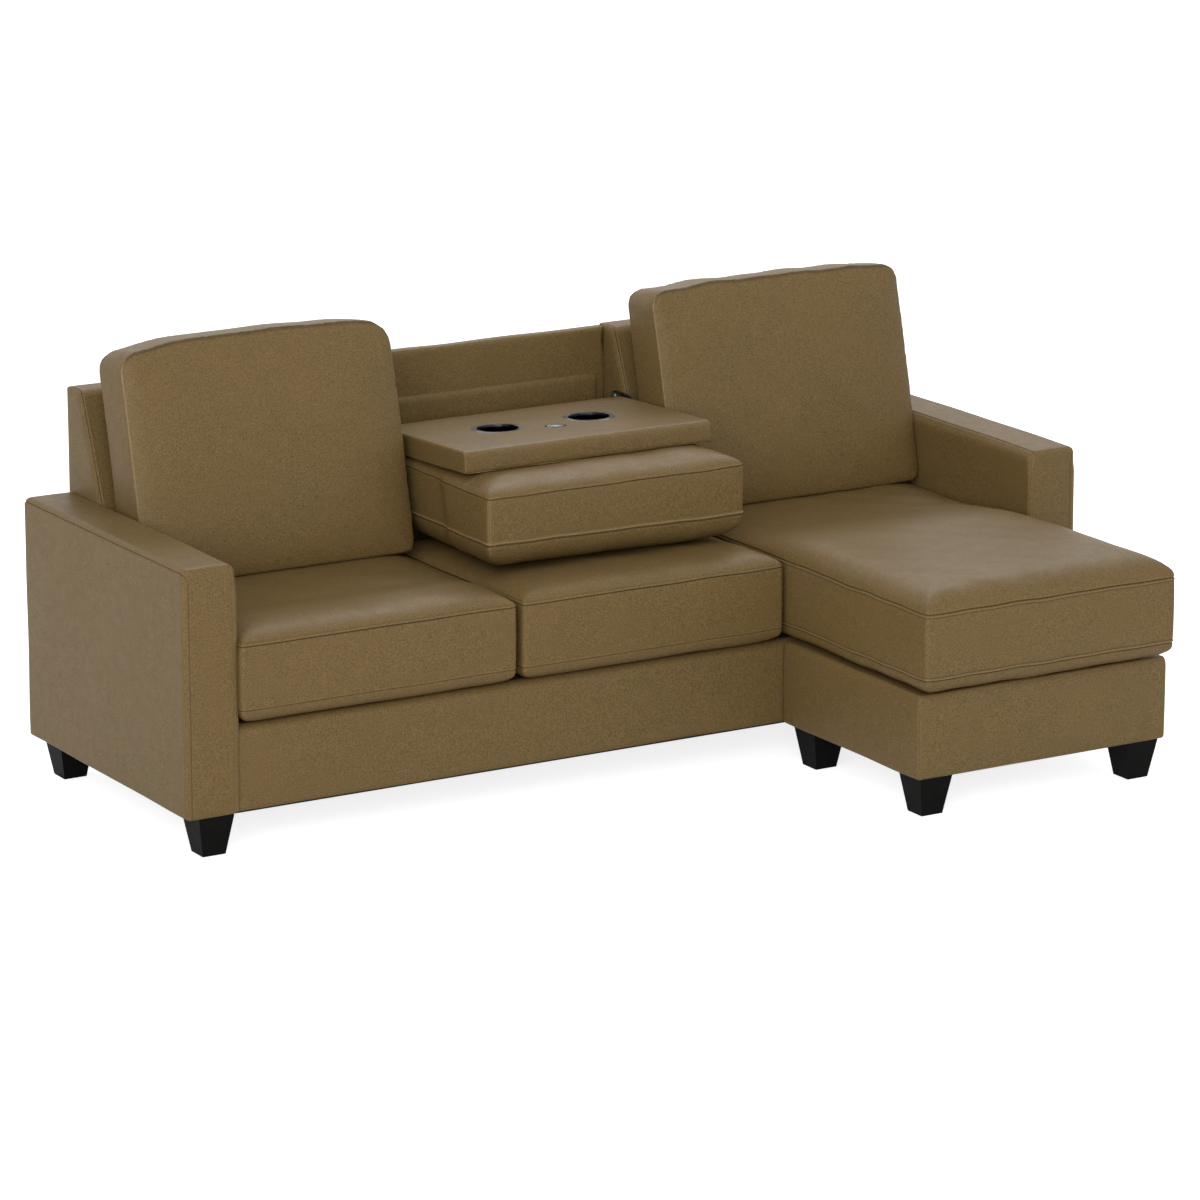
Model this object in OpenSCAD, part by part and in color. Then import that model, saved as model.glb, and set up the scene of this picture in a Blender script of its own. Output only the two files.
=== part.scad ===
// Sofa with a chaise on a loose ottoman and a fold-down console in its middle seat.
// Millimetres, +Z up, +X along the sofa, -Y to the front, floor at z = 0.
// Modules are written with y = 0 at the arm fronts; place() puts the whole object's box centre at y = 0.

/* [Overall] */
// Width over both arms
sofa_w = 2150; // [1950:10:2400]
// Depth from the arm fronts to the outside of the back
sofa_d = 745; // [700:5:820]
// Height of the arms
arm_h = 594; // [560:2:660]
// Width of each arm
arm_w = 115; // [100:5:170]
// How far the arms end ahead of the outside of the back
arm_back_set = 15; // [5:1:40]
// Height of the back frame
back_h = 818; // [780:2:880]
// Thickness of the back frame along its top
back_top_t = 62; // [54:1:90]
// Slant of the back frame's front face from upright
back_slant = 21.3; // [16:0.1:23]
// Height at which the back frame's front face starts to slant
back_foot_z = 500; // [480:5:540]
// Reach of the chaise cushion past the arm fronts
chaise_out = 535; // [480:5:600]

/* [Upholstery] */
// Wall of the arm covers, with their padding
arm_skin = 8; // [6:1:12]
// Wall of the back covers, with their padding
back_skin = 12; // [9:1:16]
// Wall of the front rail cover
rail_skin = 6; // [4:1:9]
// Rounding of the long edges
edge_r = 22; // [14:1:28]
// Rounding of the lower edges
hem_r = 8; // [4:1:12]
// Wall of the covers over the springs
top_skin = 4; // [3:0.5:5]
// Thickness of the outside back cover
outside_t = 3; // [2:0.5:5]
// Thickness of the dust cover
dust_t = 1; // [0.8:0.1:2]

/* [Seat frame] */
// Height of the seat rails' top over the legs
seat_rise = 165; // [140:5:190]
// Height of the wooden rails
rail_h = 160; // [110:5:163]
// Thickness of the wooden rails
rail_t = 25; // [20:1:32]
// Setback of the front rail cover behind the arm fronts
rail_set = 8; // [4:1:16]
// Thickness of the spring wire
spring_t = 3.5; // [3:0.1:4.5]
// Width of a spring over its loops
spring_w = 50; // [40:1:60]
// Springs under each seat
springs_per_seat = 5; // [3:1:6]
// Thickness of the padded deck
deck_t = 11; // [8:1:18]

/* [Seat cushions] */
// Gap between neighbouring seat cushions
cushion_gap = 8; // [6:1:16]
// Height between the two seams of a seat cushion
seat_boxing = 131; // [100:1:150]
// Height of the seat cushions' top panel over its seam
seat_crown = 26; // [16:1:34]
// Depth of the seat cushions' bottom panel under its seam
seat_belly = 34; // [16:1:38]
// Height between the two seams of the chaise cushion
chaise_boxing = 139; // [100:1:145]
// Depth of the chaise cushion's bottom panel under its seam
chaise_belly = 36; // [16:1:40]
// How far the seat cushions stand ahead of the arm fronts
seat_proud = 15; // [0:1:30]
// Corner rounding of the cushions in plan
cushion_r = 30; // [18:1:45]
// Swell of a cushion's side at its middle
side_swell = 5; // [2:0.5:8]
// Shift of the centre cushion to the chaise's side
centre_shift = 6; // [0:1:8]

/* [Back cushions] */
// Gap between a back cushion and the arm or the recess beside it
back_gap = 7; // [5:0.5:30]
// Height of a back cushion
back_cushion_h = 470; // [400:2:520]
// Thickness of a back cushion between its seams
back_boxing = 105; // [80:1:130]
// Swell of the front panel over its seam
back_crown = 30; // [16:1:40]
// Swell of the rear panel over its seam
back_belly = 46; // [30:1:52]
// Lean of a back cushion from upright
back_lean = 10.6; // [7:0.1:12]

/* [Ottoman] */
// How much narrower than its seat the ottoman is, on each side
ottoman_in = 14; // [10:0.5:40]
// Shift of the ottoman from the middle of its seat towards the arm
ottoman_shift = 3.5; // [0:0.5:8]
// Setback of the ottoman's front behind the chaise cushion's nose
ottoman_set = 27; // [15:1:50]
// Gap between the ottoman and the front rail
ottoman_gap = 3; // [2:1:12]

/* [Legs] */
// Height of the legs
leg_h = 85; // [60:5:120]
// Side of a leg at its top
leg_top = 79; // [60:1:90]
// Side of a leg at its foot
leg_foot = 51; // [36:1:58]
// Inset of the sofa legs from the arms' outer sides
leg_in_x = 27; // [15:1:32]
// Inset of the front legs from the arm fronts
leg_in_front = 4; // [2:1:20]
// Inset of the rear legs from the arms' rear ends
leg_in_rear = 5; // [2:1:30]
// Inset of the ottoman legs from its sides
ottoman_leg_x = 6; // [3:1:30]
// Inset of the ottoman's front legs
ottoman_leg_front = 10; // [3:1:30]
// Inset of the ottoman's rear legs
ottoman_leg_rear = 28; // [10:1:40]
// Radius of a leg bolt
leg_bolt_r = 4; // [3:0.5:6]
// Radius of a floor glide
glide_r = 12; // [8:1:16]
// Height of a floor glide below its leg
glide_out = 1.5; // [1:0.5:4]

/* [Recess] */
// Width of the recess that the console folds into
recess_w = 636; // [620:2:644]
// Thickness of the recess's rim at its top, without the outside cover
rim_t = 24; // [22:1:30]
// Setback of the padded band at the back of the recess from the recess's sides
ledge_in = 23; // [16:1:48]
// Height of the top of that band
ledge_z = 717; // [680:1:740]
// Thickness of that band
ledge_t = 9; // [5:1:10]

/* [Console] */
// Length of the console cushion ahead of its hinge
console_reach = 373; // [340:1:380]
// Length of the console behind its hinge
console_tail = 72; // [60:1:73]
// Height between the console cushion's seams
console_boxing = 95; // [88:1:100]
// Depth of the console cushion's lower panel under its seam
console_belly = 66; // [40:1:68]
// Setback of the tray's sides from the recess's sides
tray_in = 21.5; // [19:0.5:48]
// Depth of the tray
tray_d = 358; // [320:1:362]
// Thickness of the tray
tray_t = 47; // [42:1:56]
// Setback of the tray's front behind the cushion's front
tray_set = 119; // [110:1:135]
// Height of the tray's front edge over the hinge
tray_up = 168; // [166:1:172]
// Slope of the tray, higher at the front
tray_slope = 2.6; // [1.5:0.1:3]
// Wall of the tray's cover
tray_skin = 5; // [4:0.5:7]
// Wall of the wooden box inside the tray
tray_board = 9; // [6:1:10]

/* [Cup holders] */
// Radius of the cup holders' bore
cup_r = 45; // [38:0.5:46]
// Depth of the cup holders
cup_depth = 41; // [30:1:41]
// Wall of the cup holders
cup_wall = 1.5; // [1:0.1:2]
// Radius of the cup holders' flange
cup_flange_r = 57; // [54:0.5:60]
// Distance of each cup holder from the console's middle
cup_x = 112; // [100:1:130]
// Distance of the cups behind the tray's front edge
cup_y = 191; // [150:1:200]
// Radius of the flush metal disc
disc_r = 22; // [16:0.5:26]
// Distance of the disc behind the tray's front edge
disc_y = 140; // [100:1:160]

/* [Hinge] */
// Thickness of the hinge arms and plates
plate_t = 3; // [2:0.5:4]
// Width of the curved hinge arm
arm_strip = 30; // [26:1:34]
// Radius of the curved arm's middle line
arm_bend_r = 105; // [95:1:112]
// Height of the hinge over the seat cushions
hinge_up = 76; // [74:1:84]
// Distance of the hinge ahead of the outside of the back
hinge_in = 245; // [235:1:255]
// Radius of the hinge pin
pin_r = 5; // [4:0.5:7]
// Radial running clearance of the pin
pin_play = 0.05; // [0.02:0.01:0.1]
// Radius of the hinge bolts
bolt_r = 4; // [3:0.5:5]

/* [Hidden] */
$fn = 48;

// Clearances between nested pieces, between a cushion and what it lies on, and past a cut face
fit = 0.2;
rest_gap = 0.3;
cut = 1;

// Colours
leather = [0.45, 0.38, 0.25];
pine = [0.80, 0.66, 0.45];
cloth = [0.16, 0.16, 0.17];
foam = [0.93, 0.88, 0.66];
black = [0.10, 0.09, 0.09];
zinc = [0.66, 0.67, 0.68];
gunmetal = [0.32, 0.33, 0.35];

// Heights
frame_z = leg_h + dust_t;
rail_top = leg_h + seat_rise;
spring_z = rail_top;
deck_z = spring_z + spring_t;
deck_top = deck_z + deck_t;
cover_top = deck_top;
seat_z = deck_top + rest_gap;
seat_top = seat_z + seat_belly + seat_boxing + seat_crown;

// Plan of the seats
inner_x = sofa_w / 2 - arm_w;
pitch = inner_x * 2 / 3;
ottoman_x = pitch + ottoman_shift;
ottoman_w = pitch - 2 * ottoman_in;
arm_d = sofa_d - arm_back_set;
rear_y = sofa_d - outside_t;
front_y = -(sofa_d - chaise_out) / 2;

// Back frame's front face
back_front_y = sofa_d - back_top_t;
back_foot_y = back_front_y - (back_h - back_foot_z) * tan(back_slant);
skin_run = back_skin / cos(back_slant);
rail_rear_y = rear_y - rim_t - fit * 2;
panel_y = rear_y - rim_t;
recess_x = recess_w / 2;
ledge_w = recess_w - 2 * ledge_in;
tray_w = recess_w - 2 * tray_in;
rib_t = 20;
stile_skin = 5;

// Seat cushions
seat_rear_y = back_foot_y - cushion_gap / 4;
cover_t = 4;
// How far a cushion's side stands out at its middle
swell_reach = side_swell * 0.75;

// Back cushions
back_w = inner_x - recess_x - 2 * back_gap;
back_x = (inner_x + recess_x) / 2;

// Console and hinge
hinge_y = sofa_d - hinge_in;
hinge_z = seat_top + hinge_up;
boss_t = 2.5;
arm_gap = 4.5;
play = 1;
nose_gap = 2;
seam_drop = 5;
arm_x = recess_x - arm_gap - plate_t;
plate_x = arm_x - play - plate_t;
console_x = plate_x - boss_t;
console_nose_x = arm_x - nose_gap;
console_front_y = hinge_y - console_reach;
console_back_y = hinge_y + console_tail;
console_low_z = hinge_z - seam_drop;
console_top_z = console_low_z + console_boxing;
tray_y = console_front_y + tray_set;
tray_z = hinge_z + tray_up;
console_bed = tray_t + fit;

// Nested frame parts
arm_in = inner_x + arm_skin + fit;
arm_out = sofa_w / 2 - arm_skin - fit;
arm_y0 = arm_skin + fit;
arm_y1 = arm_d - arm_skin - fit;
arm_top = arm_h - arm_skin - fit;
board = 20;
block = 74;
leg_hole = leg_bolt_r + fit;
bolt_end = 115;
bolt_ys = [bolt_end, arm_d / 2, arm_d - bolt_end];
bolt_z = leg_h + seat_rise / 2;

// Legs
sofa_leg_x = sofa_w / 2 - leg_in_x - leg_top / 2;
front_leg_y = leg_in_front + leg_top / 2;
rear_leg_y = arm_d - leg_in_rear - leg_top / 2;
sofa_legs = [for (x = [-1, 1]) for (y = [front_leg_y, rear_leg_y]) [x * sofa_leg_x, y]];

// Ottoman
ottoman_y0 = -chaise_out + ottoman_set;
ottoman_y1 = rail_set - ottoman_gap;
ottoman_leg_dx = ottoman_w / 2 - ottoman_leg_x - leg_top / 2;
ottoman_legs_y = [
  ottoman_y0 + ottoman_leg_front + leg_top / 2,
  ottoman_y1 - ottoman_leg_rear - leg_top / 2
];
ottoman_legs = [for (x = [-1, 1]) for (y = ottoman_legs_y) [ottoman_x + x * ottoman_leg_dx, y]];

// Places the object's box centre over the origin
module place() {
  translate([0, front_y, 0]) children();
}

// A box between two corners
module slab(lo, hi) {
  translate(lo) cube(hi - lo);
}

// A profile of [y, z] points carried along X
module along_x(x0, x1, profile) {
  translate([x0, 0, 0]) rotate([90, 0, 90]) linear_extrude(x1 - x0) polygon(profile);
}

// A profile of [x, z] points carried along Y
module along_y(y0, y1, profile) {
  translate([0, y1, 0]) rotate([90, 0, 0]) linear_extrude(y1 - y0) polygon(profile);
}

// A cylinder along X between two places
module rod_x(x0, x1, y, z, r) {
  translate([x0, y, z]) rotate([0, 90, 0]) cylinder(h = x1 - x0, r = r);
}

function unit(v) = v / norm(v);

function turn(a) = a > 180 ? a - 360 : a < -180 ? a + 360 : a;

// Corner p between a and b, rounded with radius r in n steps
function fillet(a, p, b, r, n) =
  r <= 0 ? [p] :
  let (
    u = unit(a - p),
    v = unit(b - p),
    h = acos(u * v) / 2,
    c = p + unit(u + v) * r / sin(h),
    s = p + u * r / tan(h) - c,
    e = p + v * r / tan(h) - c,
    a0 = atan2(s.y, s.x),
    da = turn(atan2(e.y, e.x) - a0)
  )
  [for (i = [0:n]) c + r * [cos(a0 + da * i / n), sin(a0 + da * i / n)]];

function flat(p) = [p[0], p[1]];

// An outline of [x, y, radius] corners as points
function rounded(c, n = 6) =
  let (k = len(c))
  [for (i = [0:k - 1]) each fillet(flat(c[(i + k - 1) % k]), flat(c[i]), flat(c[(i + 1) % k]), c[i][2], n)];

// A rectangle whose four corners have the radii r, from the lowest corner counterclockwise
function box_outline(lo, hi, r) =
  rounded([[lo.x, lo.y, r[0]], [hi.x, lo.y, r[1]], [hi.x, hi.y, r[2]], [lo.x, hi.y, r[3]]]);

// A padded box set in by t: long edges rounded by edge_r above and in front, by hem_r elsewhere
module padded_box(lo, hi, t = 0) {
  e = edge_r - t;
  h = max(1, hem_r - t);
  side = [h, h, e, e];
  plan = [e, e, h, h];
  intersection() {
    along_x(lo.x, hi.x, box_outline([lo.y, lo.z], [hi.y, hi.z], side));
    along_y(lo.y, hi.y, box_outline([lo.x, lo.z], [hi.x, hi.z], side));
    translate([0, 0, lo.z]) linear_extrude(hi.z - lo.z) polygon(box_outline(lo, hi, plan));
  }
}

// Cushion outlines

// Point p of the right side, turned onto side s
function on_side(s, p) = s == 0 ? p : s == 1 ? [-p.y, p.x] : s == 2 ? -p : [p.y, -p.x];

// Rounded rectangle with swelling sides, as a ring of points with n per side and k per corner
function ring(w, d, r, swell, n, k) = [
  for (s = [0:3])
    let (
      h = (s % 2 == 0 ? w : d) / 2,
      l = (s % 2 == 0 ? d : w) / 2 - r
    )
    each concat(
      [for (i = [0:n - 1]) on_side(s, [h + swell * sin(180 * i / n), l * (2 * i / n - 1)])],
      [for (i = [0:k - 1]) on_side(s, [h - r + r * cos(90 * i / k), l + r * sin(90 * i / k)])]
    )
];

// Two shapes of puffed panels, a soft one and a fuller one
soft = [2.2, 0.62];
full = [3, 0.5];

// Insets of a panel's rings, as shares of half its width: fine for covers, coarse for cores
flat_from = 0.75;
cover_steps = [0.03, 0.09, 0.2, 0.42, flat_from];
core_steps = [0.08, 0.28, 0.7];

// Share of its whole puff that a panel has at an inset of share t
function rise(t, shape) = pow(1 - pow(1 - t, shape[0]), shape[1]);
function puff(t, shape = soft) = min(1, rise(t, shape) / rise(flat_from, shape));

// Rings of a cushion, from the middle of its low panel to the middle of its high panel
function cushion_rings(w, d, r, lo, hi, belly, crown, swell, shape, steps, n, k) =
  let (
    half = min(w, d) / 2,
    inset = function (t) ring(w - 2 * t * half, d - 2 * t * half, r + 0.3 * t * half, swell * (1 - t), n, k),
    last = len(steps) - 1
  )
  concat(
    [for (j = [last:-1:0]) [for (p = inset(steps[j])) [p.x, p.y, lo - belly * puff(steps[j], shape)]]],
    [[for (p = inset(0)) [p.x, p.y, lo]]],
    [[for (p = ring(w + swell, d + swell, r, swell, n, k)) [p.x, p.y, (lo + hi) / 2]]],
    [[for (p = inset(0)) [p.x, p.y, hi]]],
    [for (j = [0:last]) [for (p = inset(steps[j])) [p.x, p.y, hi + crown * puff(steps[j])]]]
  );

// A closed skin over rings of equally many points
module skin(rings) {
  n = len(rings[0]);
  top = (len(rings) - 1) * n;
  polyhedron(
    points = [for (r = rings) each r],
    faces = concat(
      [[for (i = [0:n - 1]) i]],
      [
        for (k = [0:len(rings) - 2])
          for (i = [0:n - 1])
            let (a = k * n + i, b = k * n + (i + 1) % n)
            each [[a, a + n, b + n], [a, b + n, b]]
      ],
      [[for (i = [n - 1:-1:0]) top + i]]
    )
  );
}

// Seat cushions: size is [width, depth, boxing, belly, crown], t is how far the skin is drawn in
module seat_form(size, t, fine) {
  skin(cushion_rings(
    size[0] - 2 * t, size[1] - 2 * t, cushion_r, size[3], size[3] + size[2], size[3] - t, size[4] - t,
    side_swell / 2, full, fine ? cover_steps : core_steps, fine ? 6 : 3, fine ? 4 : 3
  ));
}

module seat_cushion_cover(size, at) {
  color(leather) translate(at) difference() {
    seat_form(size, 0, true);
    seat_form(size, cover_t, false);
  }
}

module seat_cushion_foam(size, at) {
  color(foam) translate(at) seat_form(size, cover_t + rest_gap, false);
}

seat_front_y = -seat_proud + swell_reach;
seat_len = seat_rear_y - swell_reach - seat_front_y;
seat_size = [pitch - cushion_gap - 2 * swell_reach, seat_len, seat_boxing, seat_belly, seat_crown];
seat_mid_y = seat_front_y + seat_len / 2;
chaise_front_y = -chaise_out + swell_reach;
chaise_len = seat_rear_y - swell_reach - chaise_front_y;
chaise_crown = seat_belly + seat_boxing + seat_crown - chaise_belly - chaise_boxing;
chaise_size = [ottoman_w - 2 * swell_reach, chaise_len, chaise_boxing, chaise_belly, chaise_crown];
chaise_mid_y = chaise_front_y + chaise_len / 2;

// Back cushions stand on the seat cushions and lean against the back frame.
// Their front seam comes down on the seat's crown, so its height there is where they stand.
back_half = (back_cushion_h - side_swell) / 2;
back_lip_y = back_foot_y - back_belly - back_boxing;
seat_half = min(seat_size[0], seat_len) / 2;
back_z = seat_top - seat_crown * (1 - puff((seat_rear_y - back_lip_y) / seat_half)) + rest_gap;

// How far the rear panel reaches back past the frame's foot at height h, where its inset is t
function back_reach(h, t) =
  h * tan(back_lean) + back_belly * puff(t) - max(0, back_z + h - back_foot_z) * tan(back_slant);

foot_h = back_foot_z - back_z;
back_rear_y = back_foot_y - rest_gap - max(concat(
  [back_reach(foot_h, foot_h / back_half)],
  [for (t = cover_steps) back_reach(t * (back_half + side_swell / 2), t)],
  [for (t = cover_steps) back_reach(t * back_half + side_swell / 2, t)]
));

// They stand on their lower edge and lean by a shear
function leaned(p) = [p.x, -p.z + (p.y + back_cushion_h / 2) * tan(back_lean), p.y + back_cushion_h / 2];

module back_form(t, fine) {
  rings = cushion_rings(
    back_w - side_swell - 2 * t, back_cushion_h - side_swell - 2 * t, cushion_r,
    0, back_boxing, back_belly - t, back_crown - t,
    side_swell / 2, soft, fine ? cover_steps : core_steps, fine ? 6 : 3, fine ? 4 : 3
  );
  skin([for (r = rings) [for (p = r) leaned(p)]]);
}

module back_cushion_cover(x) {
  color(leather) translate([x, back_rear_y, back_z]) difference() {
    back_form(0, true);
    back_form(cover_t, false);
  }
}

module back_cushion_fill(x) {
  color(foam) translate([x, back_rear_y, back_z]) back_form(cover_t + rest_gap * 2, false);
}

// Arms

// The space inside an arm's cover, set in by t and open below
module arm_core(t) {
  padded_box([inner_x + t, t, leg_h - hem_r], [sofa_w / 2 - t, arm_d - t, arm_h - t], t);
}

module arm_cover() {
  color(leather) difference() {
    padded_box([inner_x, 0, frame_z], [sofa_w / 2, arm_d, arm_h]);
    arm_core(arm_skin);
    for (y = bolt_ys) rod_x(inner_x - cut, inner_x + arm_skin + cut, y, bolt_z, bolt_r + fit);
  }
}

module arm_frame() {
  z0 = frame_z + fit;
  color(pine) difference() {
    intersection() {
      arm_core(arm_skin + fit);
      arm_boards(z0);
    }
    for (p = sofa_legs)
      translate([abs(p.x), p.y, z0 - cut]) cylinder(h = board * 2 + cut * 2, r = leg_hole);
    for (y = bolt_ys) rod_x(arm_in - cut, arm_in + board + cut, y, bolt_z, bolt_r + fit);
  }
}

module arm_boards(z0) {
  slab([arm_in, arm_y0, z0], [arm_out, arm_y0 + board, arm_top]);
  slab([arm_in, arm_y1 - board, z0], [arm_out, arm_y1, arm_top]);
  slab([arm_in, arm_y0, arm_top - board], [arm_out, arm_y1, arm_top]);
  slab([arm_in, arm_y0, z0], [arm_in + board, arm_y1, bolt_z + board * 2]);
  slab([arm_out - board, arm_y0, z0], [arm_out, arm_y1, bolt_z]);
  for (p = sofa_legs) {
    y0 = max(arm_y0, p.y - block / 2);
    y1 = min(arm_y1, p.y + block / 2);
    slab([arm_in, y0, z0], [arm_out, y1, z0 + board * 2]);
  }
}

// Bolts from the seat's side rails into the arms, with a head inside and a nut in the arm
module arm_bolts() {
  head_r = bolt_r * 2;
  head_t = bolt_r;
  color(zinc) for (side = [0, 1]) mirror([side, 0, 0]) for (y = bolt_ys) {
    rod_x(inner_x - fit - rail_t - head_t, inner_x - fit - rail_t, y, bolt_z, head_r);
    rod_x(inner_x - fit - rail_t - head_t, arm_in + board + head_t, y, bolt_z, bolt_r);
    rod_x(arm_in + board, arm_in + board + head_t, y, bolt_z, head_r);
  }
}

// Seat

module seat_frame() {
  z0 = frame_z + fit;
  z1 = rail_top;
  zr = z1 - rail_h;
  x1 = inner_x - fit;
  front = rail_set + rail_skin + fit;
  stretcher_top = z1 - board;
  color(pine) difference() {
    union() {
      slab([-x1, front, max(z0, zr)], [x1, front + rail_t, z1]);
      slab([-x1, rail_rear_y - rail_t, max(z0, zr)], [x1, rail_rear_y, z1]);
      for (side = [0, 1]) mirror([side, 0, 0]) {
        slab([x1 - rail_t, front, max(z0, zr)], [x1, rail_rear_y, stretcher_top]);
        x = pitch / 2;
        slab([x - rail_t / 2, front, z0], [x + rail_t / 2, rail_rear_y, stretcher_top - board]);
      }
    }
    for (side = [0, 1]) mirror([side, 0, 0])
      for (y = bolt_ys)
        rod_x(x1 - rail_t - cut, x1 + cut, y, bolt_z, bolt_r + fit);
  }
}

module front_rail_cover() {
  y1 = rail_set + rail_skin + rail_t + fit * 2;
  x1 = inner_x - fit;
  color(leather) along_x(-x1, x1, rounded([
    [rail_set, frame_z, 2],
    [rail_set + rail_skin, frame_z, 2],
    [rail_set + rail_skin, cover_top - top_skin, cover_top - top_skin - rail_top],
    [y1, cover_top - top_skin, 0],
    [y1, cover_top, 2],
    [rail_set, cover_top, edge_r]
  ]));
}

// One flat sinuous spring from y0 to y1 with bars of wire t, over loops of width w
module spring(y0, y1, w, t) {
  loops = max(3, round((y1 - y0) / w));
  steps = 6;
  n = loops * steps;
  path = [for (i = [0:n]) [(w - t) / 2 * sin(360 * i / steps / 2), y0 + (y1 - y0) * i / n]];
  normal = [
    for (i = [0:n])
      let (d = unit(path[min(n, i + 1)] - path[max(0, i - 1)]))
      [-d.y, d.x] * t / 2
  ];
  linear_extrude(t) polygon(concat(
    [for (i = [0:n]) path[i] - normal[i]],
    [for (i = [n:-1:0]) path[i] + normal[i]]
  ));
}

spring_xs = [for (s = [-1:1]) for (i = [0:springs_per_seat - 1])
  s * pitch + ((i + 0.5) / springs_per_seat - 0.5) * (pitch - 2 * rail_t)];
spring_y0 = rail_set + rail_skin + rail_t / 2;
spring_y1 = rail_rear_y - rail_t / 2;

module seat_springs() {
  color(zinc) for (x = spring_xs)
    translate([x, 0, spring_z]) spring(spring_y0, spring_y1, spring_w, spring_t);
}

// A folded strap over the end of a spring
module clip(at) {
  strap = 2;
  reach = rail_t * 0.2;
  side = spring_w * 0.28;
  translate(at) difference() {
    slab([-side, -reach, 0], [side, reach, spring_t + fit + strap]);
    slab([-side + strap, -reach - cut, -cut], [side - strap, reach + cut, spring_t + fit]);
  }
}

module spring_clips() {
  color(zinc) for (x = spring_xs) for (y = [spring_y0, spring_y1]) clip([x, y, spring_z]);
}

module seat_deck() {
  x1 = inner_x - fit;
  y0 = rail_set + rail_skin + rail_t + fit * 3;
  y1 = rail_rear_y - rail_t - fit;
  color(cloth) slab([-x1, y0, deck_z], [x1, y1, deck_top]);
}

module dust_cover() {
  x1 = sofa_w / 2 - hem_r;
  lo = [-x1, hem_r];
  hi = [x1, arm_d - hem_r];
  color(cloth) translate([0, 0, leg_h]) linear_extrude(dust_t) difference() {
    polygon(box_outline(lo, hi, [edge_r, edge_r, hem_r, hem_r]));
    for (p = sofa_legs) translate(p) circle(r = leg_hole);
  }
}

// Back

// The back's side profile, set in by run on its front and by drop at its top, from height z0
function back_profile(run, drop, z0, y1, r) = rounded([
  [back_foot_y + run, z0, 0],
  [y1, z0, 0],
  [y1, back_h - drop, r],
  [back_front_y + run - drop * tan(back_slant), back_h - drop, r],
  [back_foot_y + run, back_foot_z, r * 2]
]);

module back_cover() {
  z0 = deck_top + fit;
  x0 = recess_x;
  x1 = inner_x - fit;
  color(leather) difference() {
    along_x(x0, x1, back_profile(0, 0, z0, rear_y, edge_r * 0.8));
    along_x(x0 + stile_skin, x1 - stile_skin, back_profile(skin_run, back_skin, z0 - cut, rear_y + cut, 0));
    slab(
      [x0 - cut, panel_y + stile_skin, z0 - cut],
      [x0 + stile_skin + cut, rear_y + cut, back_h - back_skin]
    );
    for (p = hinge_bolts) rod_x(x0 - cut, x0 + stile_skin + cut, p.x, p.y, bolt_r + fit);
  }
}

module back_frame() {
  run = skin_run + fit;
  z0 = deck_top + fit * 2;
  z2 = frame_z + fit;
  y1 = rear_y - fit;
  y_rail = panel_y + stile_skin + fit;
  rail_z = back_h - back_skin - fit;
  x1 = inner_x - stile_skin - fit * 2;
  color(pine) difference() {
    union() {
      for (side = [0, 1]) mirror([side, 0, 0])
        for (x = [recess_x + stile_skin + fit, x1 - rib_t]) {
          along_x(x, x + rib_t, back_profile(run, back_skin + fit, z0, y1, 0));
          slab([x, rail_rear_y + fit, z2], [x + rib_t, y1, z0 + board]);
        }
      slab([-x1, y_rail, rail_z - board * 3], [x1, y1, rail_z]);
      slab([-x1, rail_rear_y + fit, z2], [x1, y1, z2 + board * 2]);
      slab([-recess_x - stile_skin, y1 - board / 2, z2], [recess_x + stile_skin, y1, rail_z]);
    }
    for (side = [0, 1]) mirror([side, 0, 0]) for (p = hinge_bolts)
      rod_x(recess_x, recess_x + stile_skin + rib_t + cut, p.x, p.y, bolt_r + fit);
  }
}

module recess_panel_cover() {
  z0 = deck_top + fit;
  x1 = recess_x - fit;
  skin_t = stile_skin;
  color(leather) along_x(-x1, x1, rounded([
    [panel_y, z0, 0],
    [panel_y + skin_t, z0, 0],
    [panel_y + skin_t, back_h - back_skin, 0],
    [rear_y, back_h - back_skin, 0],
    [rear_y, back_h, edge_r * 0.4],
    [panel_y, back_h, edge_r * 0.4]
  ]));
}

module recess_ledge() {
  z0 = deck_top + fit;
  x1 = ledge_w / 2;
  y1 = panel_y - fit;
  color(leather) along_x(-x1, x1, rounded([
    [y1 - ledge_t, z0, 0],
    [y1, z0, 0],
    [y1, ledge_z, 1],
    [y1 - ledge_t, ledge_z, ledge_t * 0.7]
  ]));
}

module outside_back_cover() {
  x1 = inner_x - fit;
  color(leather) slab([-x1, rear_y + fit / 2, frame_z], [x1, sofa_d, back_h - edge_r]);
}

// Legs

module leg(at) {
  z0 = glide_out;
  k = leg_foot / leg_top;
  bore = leg_h * 0.5;
  color(black) translate([at.x, at.y, 0]) difference() {
    translate([0, 0, leg_h]) mirror([0, 0, 1]) linear_extrude(leg_h - z0, scale = k)
      square(leg_top, center = true);
    translate([0, 0, leg_h - bore]) cylinder(h = bore + cut, r = leg_hole);
    translate([0, 0, -cut]) cylinder(h = z0 + glide_out * 2 + cut, r = glide_r + fit);
  }
}

// Hanger bolts up from the legs into the wooden blocks
module bolts_up(places) {
  color(zinc) for (p = places)
    translate([p.x, p.y, leg_h * 0.5 + fit]) cylinder(h = leg_h * 0.5 + board * 2, r = leg_bolt_r);
}

module glides(places) {
  color(black) for (p = places) translate([p.x, p.y, 0]) cylinder(h = glide_out * 3 - fit, r = glide_r);
}

// Hinge: a fixed curved arm on each side of the recess and a plate on each side of the console

bolt_in = 34.3;
bolt_rise = 141;
bolt_step = [10, 44];
bend_in = 7;
bend_rise = 34;
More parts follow.
